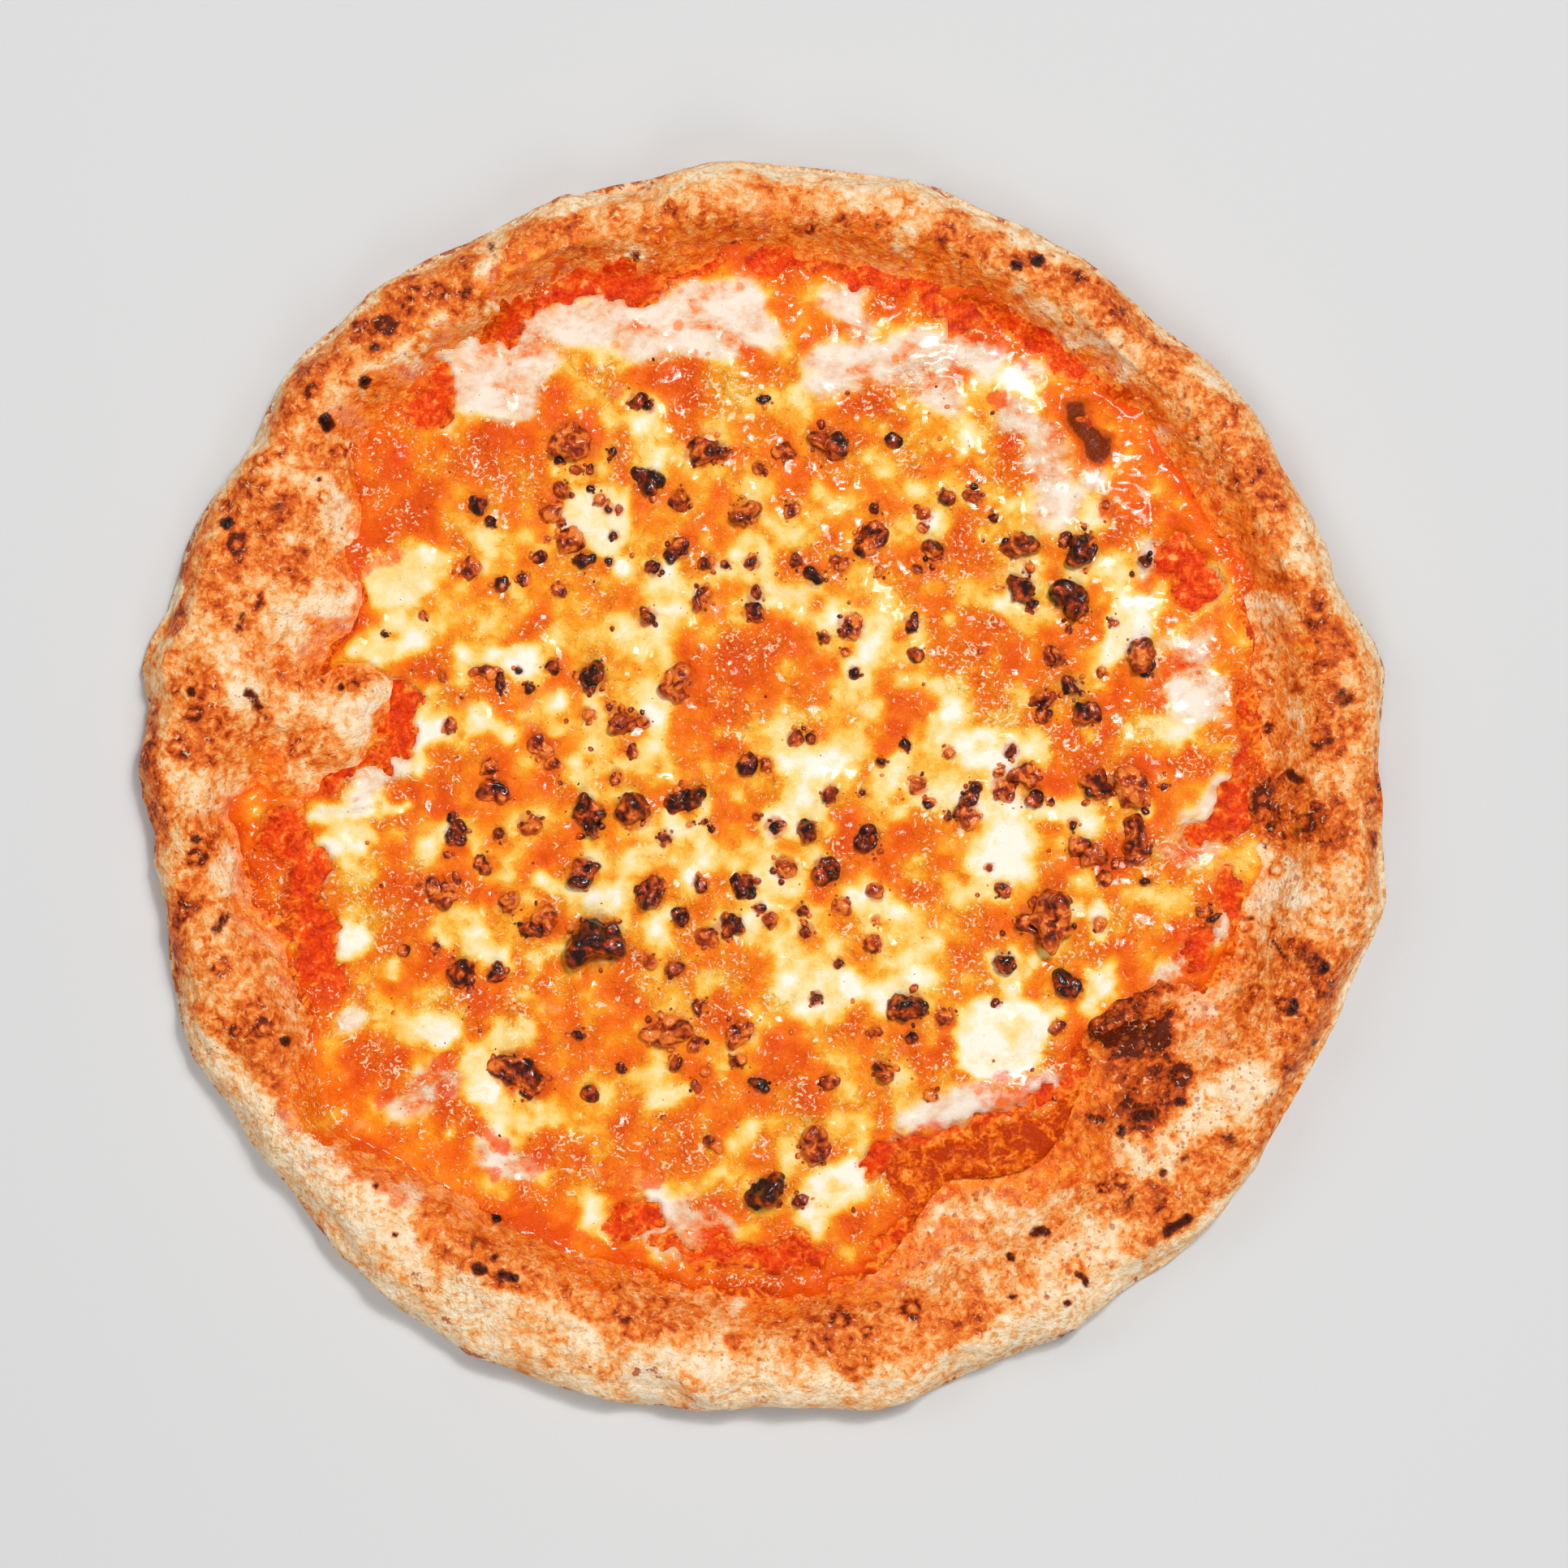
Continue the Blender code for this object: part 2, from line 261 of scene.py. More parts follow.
class Outline:
    """Outer radius of a solid against the angle."""

    def __init__(self, name):
        corners = corners_of(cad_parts[name].data)
        angles = np.degrees(np.arctan2(corners[:, 1], corners[:, 0])) % 360
        bins = (angles / 360 * OUTLINE_BINS).astype(int) % OUTLINE_BINS
        self.radii = np.zeros(OUTLINE_BINS)
        np.maximum.at(self.radii, bins, np.hypot(corners[:, 0], corners[:, 1]))
        self.middles = (np.arange(OUTLINE_BINS) + 0.5) * 360 / OUTLINE_BINS

    def at(self, places):
        """Radius in mm in the direction of each place."""
        angles = np.degrees(np.arctan2(places[:, 1], places[:, 0])) % 360
        return np.interp(angles, self.middles, self.radii, period=360)


CRUST_LEVEL = Level("crust", 0.0)
CHEESE_LEVEL = Level("cheese", 9.0, lower_passes=4, blur_passes=5)
CRUST_EDGE = Outline("crust")
SAUCE_EDGE = Outline("sauce")


# ---------------------------------------------------------------------------------------------
# Where things lie on the cheese: (x, y, half width, value[, length, turn])
# ---------------------------------------------------------------------------------------------

# How pale the cheese is: 0 oily red-orange, 0.5 orange, 0.8 cream, 1 white.
OILY_FIELDS = [
    (-134, -2, 6, 0.12, 8, -30), (-132, -30, 4, 0.2, 24, 95), (0, 36, 12, 0.3), (-15, 15, 10, 0.3),
    (-28, 113, 9, 0.3), (20, 90, 9, 0.32), (38, 20, 9, 0.3), (40, -20, 9, 0.28), (5, -75, 9, 0.3),
    (-68, 46, 9, 0.3), (-97, -3, 7, 0.18, 14, 0), (95, 8, 12, 0.35, 20, 20), (95, 25, 9, 0.32),
    (60, 40, 12, 0.28), (64, 30, 9, 0.3), (75, 12, 6, 0.3, 14, -20), (55, -40, 9, 0.32),
    (95, -38, 8, 0.32), (95, -25, 7, 0.3), (-90, 88, 12, 0.38), (-68, 84, 12, 0.34), (-64, 75, 8, 0.3),
    (-88, -22, 10, 0.34), (-100, -32, 10, 0.3), (-100, -52, 10, 0.32), (-75, -60, 12, 0.36),
    (-100, -75, 9, 0.3), (-92, -95, 9, 0.3), (-60, -62, 9, 0.32), (-66, 5, 8, 0.3, 10, 60),
    (-88, 6, 7, 0.35), (60, 70, 9, 0.3), (68, 78, 8, 0.3), (63, 94, 5, 0.28), (105, 72, 9, 0.2),
    (98, 64, 5, 0.24), (112, 8, 10, 0.3), (118, -22, 7, 0.3), (108, -40, 10, 0.36), (-45, -110, 9, 0.34),
    (55, -75, 5, 0.2, 14, 0), (75, -58, 5, 0.3), (-110, -75, 9, 0.34), (-60, -25, 6, 0.32),
    (45, 100, 9, 0.4), (-20, 30, 6, 0.3), (-10, -60, 8, 0.32), (20, -12, 5, 0.32), (-40, -60, 7, 0.34),
    (-8, 20, 7, 0.36), (-60, 30, 5, 0.4), (10, 120, 8, 0.38),
]
YELLOW_FIELDS = [
    (131, 40, 5, 0.68, 9, 100), (134, -25, 5, 0.54, 12, 80), (-90, 50, 11, 0.62, 12, 10),
    (-78, 66, 6, 0.68), (-72, 48, 6, 0.55), (93, 57, 7, 0.6), (76, 42, 7, 0.62),
    (78, -10, 8, 0.64, 14, 0), (-93, -14, 6, 0.64), (-72, -86, 5, 0.62), (-103, -57, 4, 0.6, 12, -30),
    (88, 77, 5, 0.62, 14, 35), (100, -8, 6, 0.66), (-88, 102, 4, 0.66), (66, -25, 7, 0.7),
    (-60, 60, 6, 0.6), (15, 75, 8, 0.55), (-40, -85, 8, 0.62), (30, -95, 7, 0.6), (-10, 100, 7, 0.58),
    (45, 55, 7, 0.56), (-30, 5, 6, 0.6), (24, -50, 6, 0.66), (40, 85, 6, 0.6),
]
CREAM_POOLS = [
    (12, 5, 9, 0.84), (-32, 22, 6, 0.84), (-28, 45, 7, 0.84), (-45, 0, 7, 0.85), (8, -8, 7, 0.84),
    (5, -24, 6, 0.84), (-35, -21, 4.5, 0.94), (-17, -24, 5, 0.82), (32, 21, 3, 0.88),
    (36, 6, 3.5, 0.95, 8, 70), (20, -40, 9, 0.82), (0, -40, 9, 0.82), (-45, -32, 5, 0.94),
    (28, 38, 6, 0.82), (15, 45, 5, 0.82), (14, -55, 10, 0.82), (65, -67, 10.5, 1.0, 7, 20),
    (-45, 73, 9, 0.95), (-98, 60, 7, 0.93, 10, 20), (-78, 66, 4, 0.84), (-78, 18, 4, 1.0, 3, 80),
    (-71, 15, 3, 0.9), (-93, 16, 2.8, 0.94, 18, 82), (-77, 36, 3.5, 0.88, 12, 0), (-63, 35, 7, 0.83),
    (-104, 38, 4.5, 0.92, 8, 20), (-113, -4, 2.6, 0.97, 26, 6), (-118, -16, 5.5, 0.98),
    (-111, -19, 4, 0.86), (-116, -43, 5.5, 0.98), (-112, -11, 4, 0.84, 8, 0), (-57, -27, 5, 0.92),
    (-98, -43, 3, 0.84), (-90, -41, 3, 0.84), (-78, -46, 4, 0.86, 6, -30), (-57, 20, 5, 0.86),
    (-92, -66, 3.6, 0.97, 10, -10), (-77, -77, 5, 0.95, 6, 60), (-66, -91, 4, 0.9, 7, 20),
    (-83, -92, 2.4, 0.9), (-67, -97, 2.6, 0.96), (-68, -68, 4.5, 0.88, 8, 0), (-47, -98, 5, 0.84),
    (20, -110, 6, 0.84, 14, 35), (-27, -113, 6, 0.86), (-47, -116, 6, 0.8), (-26, -85, 4, 0.9, 8, 40),
    (-36, 105, 6, 0.84), (-42, 120, 6, 0.8), (70, 48, 4, 0.93), (100, 46, 4.5, 0.95, 8, 70),
    (96, 39, 4, 0.9), (66, 8, 5, 0.84), (56, 9, 5, 0.88), (76, 12, 5, 0.82), (74, -6, 3.2, 0.96, 16, 0),
    (66, -18, 6, 0.84, 10, 0), (88, -8, 4, 0.95), (106, -6, 4, 0.92), (84, -33, 4, 0.82),
    (93, -38, 4, 0.92), (66, -46, 6, 0.82), (76, -47, 3, 0.96), (90, -55, 4, 0.97, 8, 60),
    (112, 17, 4.5, 0.93, 12, 10), (96, 29, 3, 0.84), (92, 17, 2.6, 0.86), (85, 57, 4, 0.78),
    (75, 61, 4, 0.86), (58, 97, 5, 0.82), (50, 74, 4, 0.84), (63, 90, 4, 0.84), (72, 112, 6, 0.86),
    (76, 103, 4, 0.84), (15, 108, 6, 0.84), (88, -26, 4, 0.86), (-84, -12, 5, 0.84), (-104, -48, 3, 0.84),
    (-62, -48, 4, 0.85), (-38, 62, 4, 0.86), (45, 42, 4, 0.82), (-54, 8, 4, 0.84), (45, -50, 5, 0.84),
    (38, -78, 5, 0.84), (-8, -95, 6, 0.82), (-55, -45, 4, 0.86), (32, -62, 5, 0.82), (-5, 60, 5, 0.84),
    (28, 60, 4, 0.84), (-60, -105, 4, 0.8), (50, 20, 4, 0.84),
]
# Thin pinkish white cheese over sauce.
PINK_VEILS = [
    (-74, 112, 9, 0.96, 14, -20), (-66, 119, 6, 0.9), (-54, 128, 6, 0.97, 8, 0), (-57, 117, 5, 0.95),
    (-12, 128, 11, 0.96, 10, 0), (22, 116, 7, 0.94, 8, 10), (42, 116, 8, 0.88, 10, -10),
    (119, 24, 7, 0.87, 6, 20), (123, -5, 4, 0.88, 9, 75), (118, -17, 4, 0.88, 6, 20),
    (58, -87, 4.6, 0.93, 42, 17), (78, 87, 5, 0.84, 18, 100), (90, 84, 5, 0.86), (-106, 5, 5, 0.9, 8, 40),
    (-70, -103, 5, 0.87, 8, -20), (-113, -64, 4, 0.9), (-95, -83, 4, 0.84), (70, 101, 6, 0.72),
    (115, 36, 7, 0.7), (107, 63, 3, 0.96, 5, 20), (-88, -80, 4, 0.8), (-100, -88, 4, 0.8),
    (50, 108, 6, 0.8), (-30, 126, 9, 0.95, 14, 0), (-38, 133, 5, 0.93, 8, 0), (24, 130, 6, 0.84),
    (-22, -120, 6, 0.74, 14, 0), (126, -37, 2.5, 0.95, 5, 60), (60, 118, 7, 0.78), (112, -52, 5, 0.74),
]
# Cheese so thin that the sauce shows through.
RED_GLIMPSES = [
    (-88, -75, 3, 1.0), (-87, -83, 3, 1.0), (-103, -85, 3, 0.9), (-75, -95, 3, 1.0, 8, -30),
    (-73, -107, 3, 1.0), (-61, -102, 4, 0.9), (-100, 92, 3.5, 1.0), (-97, 86, 2.5, 0.9),
    (-102, 73, 3, 0.9), (-64, 27, 2, 0.5), (64, 107, 3, 0.9), (97, 30, 4, 0.5), (58, 2, 3, 0.4),
    (72, -82, 6, 0.7, 18, 10), (40, -97, 3, 0.9, 16, 18), (106, 55, 4, 0.6), (120, 42, 6, 0.6, 12, 60),
    (-35, -107, 5, 0.9, 9, 10), (-33, -100, 3, 0.8), (70, 118, 5, 0.6, 12, -20), (50, 118, 5, 0.6),
    (-45, 139, 5, 0.8, 14, 0), (35, 138, 5, 0.7, 20, -8), (0, 144, 4, 0.6, 16, 0), (98, 72, 6, 0.3),
    (-120, -56, 5, 0.7), (116, -40, 5, 0.8), (-106, 62, 3, 0.8, 10, 30), (100, 20, 4, 0.3),
]
# Where no cheese lies and the sauce is bare.
BARE_SAUCE = [
    (-129, -17, 5.6, 1.0, 10, -55), (-124, -37, 4.2, 1.0, 26, 95), (-120, -51, 3.5, 1.0, 6, -40),
    (-98, 19, 3.6, 1.0, 12, 86), (-102, 11, 2.6, 1.0, 6, 40), (-116, 3.5, 2.6, 1.0, 24, 22),
    (-90, 107, 4.8, 1.0, 6, 45), (-71, 128, 4.2, 1.0, 8, 60), (-35, 137, 3.2, 1.0, 12, 10),
    (54, 131, 4.6, 1.0, 8, 0), (116, 60, 5.4, 1.0, 10, -55), (131, 12, 1.7, 1.0, 34, 92),
    (129, -6, 4.4, 1.0, 10, 70), (121, -13, 3, 1.0, 5, 30), (120, -44, 3.4, 1.0, 7, 60),
    (129, -31, 3, 1.0, 10, -75), (-2, -128, 3.2, 1.0, 34, 0), (36, -124, 2.6, 1.0, 10, 20),
    (-24, -125, 2.4, 1.0, 8, -30), (-35, -118, 2.6, 1.0, 8, 20), (84, 118, 3, 1.0, 13, -35),
    (98, 109, 1.8, 1.0, 5, -40), (27, -136, 2.4, 1.0, 12, 10), (-45, 140, 2.8, 1.0, 14, 14),
    (-58, 135, 2.8, 1.0, 8, 30), (-20, 145, 2.2, 1.0, 16, 4), (8, 145, 2.2, 1.0, 16, -4),
    (32, 140, 2.8, 1.0, 14, -12), (70, 126, 2.6, 1.0, 12, -32), (-104, 20, 2.4, 1.0, 8, 80),
    (38, -101, 2.4, 1.0, 14, 30), (66, -92, 1.5, 1.0, 36, 16), (83, -83, 2.2, 1.0, 8, 60),
]
# Where the sauce is a dark oily film in a hollow of the dough.
OILY_POCKETS = [(64, -100, 6.5, 1.0, 46, 15)]
# Where bare dough bulges in over the sauce and the cheese.
BARE_DOUGH = [
    (-128, 14, 9, 1.0, 16, 78), (-114, 20, 8, 1.0, 14, 65), (106, -66, 7, 1.0, 20, 26),
]
# Where neither sauce nor cheese creeps up the foot of the rim.
CLEAR_FOOT = [(140.5, 14, 6.5, 1.0, 66, 94), (135.5, -44, 7, 1.0, 34, 68)]
# Grainy patches: more fine bump, and more painted highlights as pale glint flecks in the cheese's colour.
GRAIN_AND_PAINTED_GLINT_AREAS = [
    (-102, -36, 6, 1.0, 14, 15), (-112, -28, 5, 1.0, 10, 0), (-97, -22, 4, 1.0), (-86, 4, 4, 1.0),
    (-108, 4, 6, 1.0, 12, 30), (-90, -32, 3, 1.0), (-68, -62, 6, 1.0), (-84, -88, 6, 1.0),
    (-76, -94, 4, 1.0), (-106, -73, 5, 1.0), (-85, -60, 7, 1.0), (-112, -62, 5, 1.0), (-80, 92, 6, 1.0),
    (-62, 84, 6, 1.0), (-94, 88, 5, 1.0), (-97, 76, 5, 1.0), (-72, 104, 5, 1.0), (-56, 114, 5, 1.0),
    (62, 98, 5, 1.0), (66, 86, 4, 1.0), (70, 60, 5, 1.0), (55, 36, 7, 1.0), (64, 46, 5, 1.0),
    (63, 22, 8, 1.0), (82, 14, 4, 1.0), (104, 18, 6, 1.0), (118, 8, 6, 1.0), (122, 27, 5, 1.0),
    (96, -36, 6, 1.0), (110, -18, 5, 1.0), (106, -24, 5, 1.0), (88, -44, 6, 1.0),
    (73, -73, 7, 1.0, 10, 10), (56, -36, 6, 1.0), (118, -26, 4, 1.0), (-130, -14, 5, 1.0),
    (-126, -24, 4, 1.0), (-60, -45, 5, 1.0), (-45, 112, 5, 1.0), (-10, 108, 8, 1.0), (30, 104, 7, 1.0),
    (40, 92, 6, 1.0), (50, 30, 5, 1.0), (-35, -52, 6, 1.0), (5, -58, 5, 1.0), (50, -55, 4, 1.0),
    (-20, -100, 7, 1.0), (35, -105, 5, 1.0), (-5, 38, 8, 1.0), (-55, -100, 6, 1.0), (-64, -112, 5, 1.0),
    (12, 20, 6, 1.0), (-20, 110, 6, 1.0), (-38, -98, 5, 1.0), (10, -88, 7, 1.0), (48, -8, 6, 1.0),
    (-8, -50, 6, 1.0), (40, 110, 6, 1.0),
]
# Brown dabs on the cheese: scorched spots, and the first dab makes the sunken pit at (89.5, 98) dark brown.
SCORCHES = [
    (89.5, 98, 5.2, 1.1, 9, 118), (96, 69, 4, 0.35, 6, 60), (94, 77, 2, 0.6, 4, 40), (-60, -80, 3, 0.5),
    (92, 3, 5, 0.3), (-66, -78, 4, 0.4), (96, -16, 4, 0.3),
]
# Lifted folds and sunken spots: (x, y, half width, height[, length, turn]).
CHEESE_MOUNDS = [
    (58, -87, 6, 2.0, 38, 17), (89.5, 98, 6.5, -1.6, 8, 118), (93, 57, 8, 1.0), (-96, 61, 12, 1.0),
    (65, -67, 12, 0.8), (-13, 128, 11, 0.8), (107, 63.5, 3.4, 1.8, 4, 20), (-118, -16, 6, 1.0),
    (-116, -43, 6, 1.0), (102, 44, 7, 1.0), (-113, -4, 3, 1.2, 26, 6), (-92, -66, 5, 0.8, 8, -10),
    (96, 69, 6, 1.2), (-72, 104, 5, 0.9), (80, 20, 7, 0.8), (125, -36, 3, 2.0, 5, 60), (75, 1, 7, 0.8),
    (-78, 18, 5, 0.8), (-97, -3, 6, -0.8, 14, 0), (-60, 60, 5, 0.5), (74, -38, 7, 0.8),
]


# ---------------------------------------------------------------------------------------------
# Where things lie on the crust
# ---------------------------------------------------------------------------------------------

# How dark the crust is baked: 0 raw and pale, 0.5 golden, 0.75 brown, 1 burnt.
BAKED_PATCHES = [
    (-138, 76, 8, 0.78, 6, -10), (-131, 61, 6, 0.76, 8, -30), (-134, 34, 3.6, 0.62, 8, 110),
    (-128, 12, 7, 0.56, 10, -10), (-138, 4, 8, 0.66, 12, 100), (-104, 92, 8, 0.6, 14, 50),
    (-120, 92, 7, 0.64), (-117, 30, 6, 0.68, 10, 10), (-110, 80, 6, 0.6), (-152, 20, 5, 0.7, 22, 95),
    (-153, -24, 4, 0.7, 16, 80), (-137, -70, 8, 0.7, 16, -55), (-123, -86, 4, 0.74, 6, -30),
    (-116, -122, 6, 0.8, 8, -40), (-104, -134, 4, 0.74), (-88, -124, 7, 0.66, 10, -50),
    (-66, -126, 8, 0.66, 12, -20), (-70, -134, 3, 0.9, 9, -30), (-110, -92, 8, 0.56, 16, -10),
    (-96, -100, 8, 0.6, 14, -10), (-40, -138, 7, 0.68, 18, -10), (10, -146, 7, 0.68, 20, 0),
    (45, -146, 8, 0.64, 20, 6), (82, -148, 5, 0.72, 12, 30), (68, -101, 9, 0.72, 26, 6),
    (50, -103, 6, 0.82, 14, 20), (92, -84, 6, 0.74, 12, 70), (131, -65, 6, 0.6, 12, 50),
    (112, -120, 3, 0.9, 9, 30), (104, -112, 5, 0.72, 10, 0), (118, -110, 8, 0.68, 16, 40),
    (136, -98, 8, 0.66, 14, 50), (150, -62, 7, 0.7, 24, 72), (141, -6, 8, 0.84, 10, -20),
    (155, -10, 5, 0.86, 8, 70), (153, 18, 5, 0.76, 18, 95), (148, -46, 6, 0.84),
    (150, 44, 5, 0.74, 16, 105), (143, 56, 5, 0.78), (138, 84, 5, 0.74, 14, 112),
    (128, 98, 5, 0.7, 8, 120), (128, 88, 5, 0.72), (112, 124, 4, 0.82, 12, -30),
    (98, 130, 5, 0.76, 14, -40), (72, 142, 3.5, 0.86, 9, 0), (82, 140, 4, 0.74, 12, -20),
    (55, 148, 5, 0.68, 12, -10), (20, 152, 5, 0.72, 22, 0), (-20, 152, 5, 0.72, 24, 0),
    (-60, 148, 5, 0.7, 18, 15), (-92, 139, 4, 0.82, 16, 28), (-112, 122, 5, 0.7, 14, 45),
    (-128, 106, 5, 0.7, 14, 48), (-106, 120, 3, 0.78), (60, 128, 7, 0.6, 12, 20),
    (118, 84, 7, 0.58, 12, 110), (120, 72, 8, 0.6, 12, 60), (-80, 134, 5, 0.56), (148, 30, 4, 0.7),
    (-96, 131, 6, 0.74, 26, 38), (-167, 4, 3.5, 0.84, 30, 92), (-162, -45, 3.5, 0.88, 34, 74),
    (-158, 60, 3.5, 0.76, 30, 70), (139, 22, 6, 0.66, 14, 100), (135, 70, 7, 0.62),
    (112, 104, 7, 0.6, 14, -30), (-142, 90, 4, 0.7), (-146, 60, 5, 0.7, 18, 65),
]
# The big bubble at the lower right: a brown ridge, the fold below it and a grainy dome. The pale dabs at
# (107.5, -62), (99, -65.5) and (112, -57.5) are painted highlights on the ridge; the dark dabs at (101.5,
# -69.8) and (96, -76) are painted shade in the fold and below it.
BUBBLE_BAKE_AND_PAINTED_LIGHT = [
    (107, -82, 10, 0.8), (103, -90, 4, 0.92, 5, -30), (102, -62, 6.8, 0.93, 18, 30),
    (97, -57.5, 1.4, 0.95, 18, 34), (107.5, -62, 1.8, 0.3, 3, 20), (99, -65.5, 1.2, 0.34, 3, 20),
    (112, -57.5, 2.2, 0.5, 4, 30), (101.5, -69.8, 4.4, 1.25, 16, 24), (96, -76, 2.6, 0.88, 8, 70),
    (117, -62.3, 1.7, 0.92), (121, -60, 3, 0.1, 4, -30),
]
PALE_PATCHES = [
    (-112, 20, 7, 0.3, 8, 60), (-127, 30, 4, 0.38, 6, 0), (-122, 44, 8, 0.2, 12, 0),
    (-116, 73, 6, 0.22, 8, -50), (-145, 30, 4, 0.2, 10, 120), (-144, -14, 5, 0.22, 22, 92),
    (-133, -40, 7, 0.4), (-125, 22, 4, 0.2, 6, 100), (-108, 20, 4, 0.2, 8, 60),
    (-109, 27, 2.4, 0.16, 6, 80), (-104, 128, 5, 0.22, 14, 45), (-95, 120, 6, 0.24, 16, 45),
    (-113, 100, 3.4, 0.12, 8, 80), (-119, 84, 4, 0.26), (-80, 140, 5, 0.26, 20, 25),
    (-125, -78, 5, 0.22, 10, -50), (-112, -106, 9, 0.2, 16, -40), (-98, -120, 6, 0.12, 10, -70),
    (-84, -136, 7, 0.06, 16, -20), (-110, -140, 6, 0.14, 20, -40), (4, -134, 8, 0.16, 14, 8),
    (86, -128, 4, 0.26, 12, 20), (95, -120, 4, 0.28, 10, 60), (84, -142, 5, 0.16, 16, 20),
    (110, -98, 8, 0.28, 14, 30), (126, -86, 10, 0.2, 10, 30), (65, -118, 4, 0.34), (58, -126, 4, 0.3),
    (96, 146, 4, 0.1, 20, -38), (72, 151, 5, 0.1, 18, -20), (124, 112, 3, 0.06, 10, -55),
    (100, 134, 3, 0.16, 8, -40), (128, 52, 6, 0.28), (140, -22, 7, 0.28, 12, 90),
    (95, 118, 5, 0.3, 10, -40), (120, 100, 5, 0.26), (-60, 143, 6, 0.28, 14, 15),
]
OILY_STAINS = [
    (-30, -131, 5, 0.8, 40, -6), (20, -136, 5, 0.8, 30, 4), (48, -126, 5, 0.8, 16, 20),
    (78, -106, 6, 0.8, 30, 16), (120, -62, 6, 0.7, 10, 30), (-92, 104, 4, 0.7, 14, 50),
    (-20, 147, 5, 0.9, 14, 0), (10, 146, 5, 0.8, 14, 0), (-62, 138, 4, 0.8, 10, 30),
    (68, -101, 9, 0.8, 30, 8), (106, -68, 8, 0.7, 16, 30), (-137, -20, 3.5, 1.0, 26, 88),
    (-120, -95, 4, 0.8, 8, 80), (-112, 64, 4, 0.9, 9, 35), (-104, 32, 4, 0.6, 12, 0),
    (-134, 34, 4, 0.5, 8, 110), (138, 24, 3, 0.6, 12, 80), (-76, -118, 5, 0.5, 12, 20),
    (-88, -116, 4, 0.6, 14, 60), (50, -104, 6, 0.8, 14, 10), (110, 84, 5, 0.6),
    (-60, -116, 4, 0.7, 10, -20), (-118, 18, 12, 0.1, 16, 65), (104, -61, 8, 0.05, 20, 28),
    (103, -72, 7, 0.04, 18, 24), (91.5, -79, 2.2, 0.9, 14, 88), (108, -85, 8, 0.1),
    (136, 14, 5, 0.08, 74, 93), (134, -44, 6, 0.15, 30, 70), (122, -54, 6, 0.5, 12, 60),
    (132, -70, 5, 0.4, 10, 40), (-130, -64, 5, 0.4, 10, -50), (100, 92, 5, 0.5, 10, 60),
]
# Width of the pale outer band of the rim: (angle, mm).
PALE_BAND = [
    (0, 1.5), (15, 7), (28, 3), (50, 3.5), (62, 5.5), (85, 8), (110, 6), (130, 3.5), (150, 4), (170, 2.5),
    (185, 1.2), (198, 3), (208, 13), (220, 22), (250, 23), (278, 14), (295, 14), (305, 13), (312, 9),
    (320, 4), (330, 2.5), (350, 5.5),
]
# Black and dark beads: (x, y, half width, darkness[, length, turn]).
CHARRED_SPOTS = [
    (-146, 72, 1.9, 1.0), (-142.5, 45, 1.5, 0.55, 4, 70), (-139, 24, 1.2, 0.7, 5, -60),
    (-137, 20, 1.0, 0.5, 4, -40), (-155.5, 26, 1.3, 1.0), (-116, 27.5, 1.2, 0.8),
    (-108.5, 110.5, 1.7, 0.9), (-105.7, 107, 0.7, 0.7), (-119, 99.5, 1.8, 0.9, 1.5, 100),
    (-121, 84, 1.0, 0.7), (-106, 120, 2.0, 0.6), (-132, 76, 1.6, 0.5, 3, 20), (-138, -23, 0.9, 1.0),
    (-154, -14, 1.8, 0.6), (-152, -19, 1.4, 0.6), (-148, -37, 1.6, 0.6, 4, 60), (-130, -69, 1.6, 0.9),
    (-105.5, -108.5, 0.7, 0.8), (-100, -121.5, 0.9, 0.9), (-77, -131, 1.7, 0.8, 1.5, 0),
    (-73, -128, 1.0, 0.9), (-69, -133, 1.6, 0.8, 3, -20), (-72.5, -117.5, 1.8, 1.0),
    (-57, -115, 0.8, 0.7), (75, 143.5, 1.5, 1.0, 1.5, 60), (69, 142, 1.2, 1.0, 1.5, 0),
    (98, 130, 1.6, 0.6), (118, 95, 0.9, 0.8), (114.5, 106.5, 0.6, 0.8), (134, 69, 0.6, 0.9),
    (158, 24, 3.0, 0.55), (149, -47, 3.2, 0.5, 4, -40), (153, -49, 1.2, 1.0),
    (141, -44, 1.0, 0.7, 4, -60), (144, -60, 1.8, 0.8, 2, 70), (151, -70, 1.3, 0.8),
    (98, -94, 1.0, 0.95, 2, 80), (97.5, -89, 0.8, 0.9), (57, -98, 0.9, 0.8), (67.5, -128, 1.3, 1.0),
    (76, -121.5, 1.6, 0.7, 3, 10), (68, -138.5, 0.8, 0.9), (83, -140.5, 1.0, 0.7, 1, 20),
    (87, -134, 0.9, 0.8, 4, -50), (83, -150, 1.5, 0.7, 3, 10), (113, -119.5, 1.6, 0.8, 7, 32),
    (115, -101.5, 1.3, 0.6), (109, -105, 1.7, 0.6), (127, -96, 1.9, 0.6, 1.5, -40),
    (100, -113, 2.0, 0.5, 2, 60), (108, -111, 1.8, 0.5), (114, -85.5, 1.6, 0.8, 1, 0),
    (104, -90, 1.8, 0.8, 4, 10), (137, 5, 1.0, 0.8), (145, 3, 1.6, 0.7, 3, -40), (130.5, 12, 1.0, 0.9),
    (138, -16, 0.8, 0.9), (124.5, -44.5, 1.3, 0.9), (122, -31.5, 1.4, 1.0, 1, 20),
    (133, -36, 0.8, 0.7, 3, 0), (-8, 149, 0.8, 0.8), (-74, 147.5, 1.6, 0.6), (24, -125, 1.3, 0.8),
    (-35, 145, 1.8, 0.6),
]
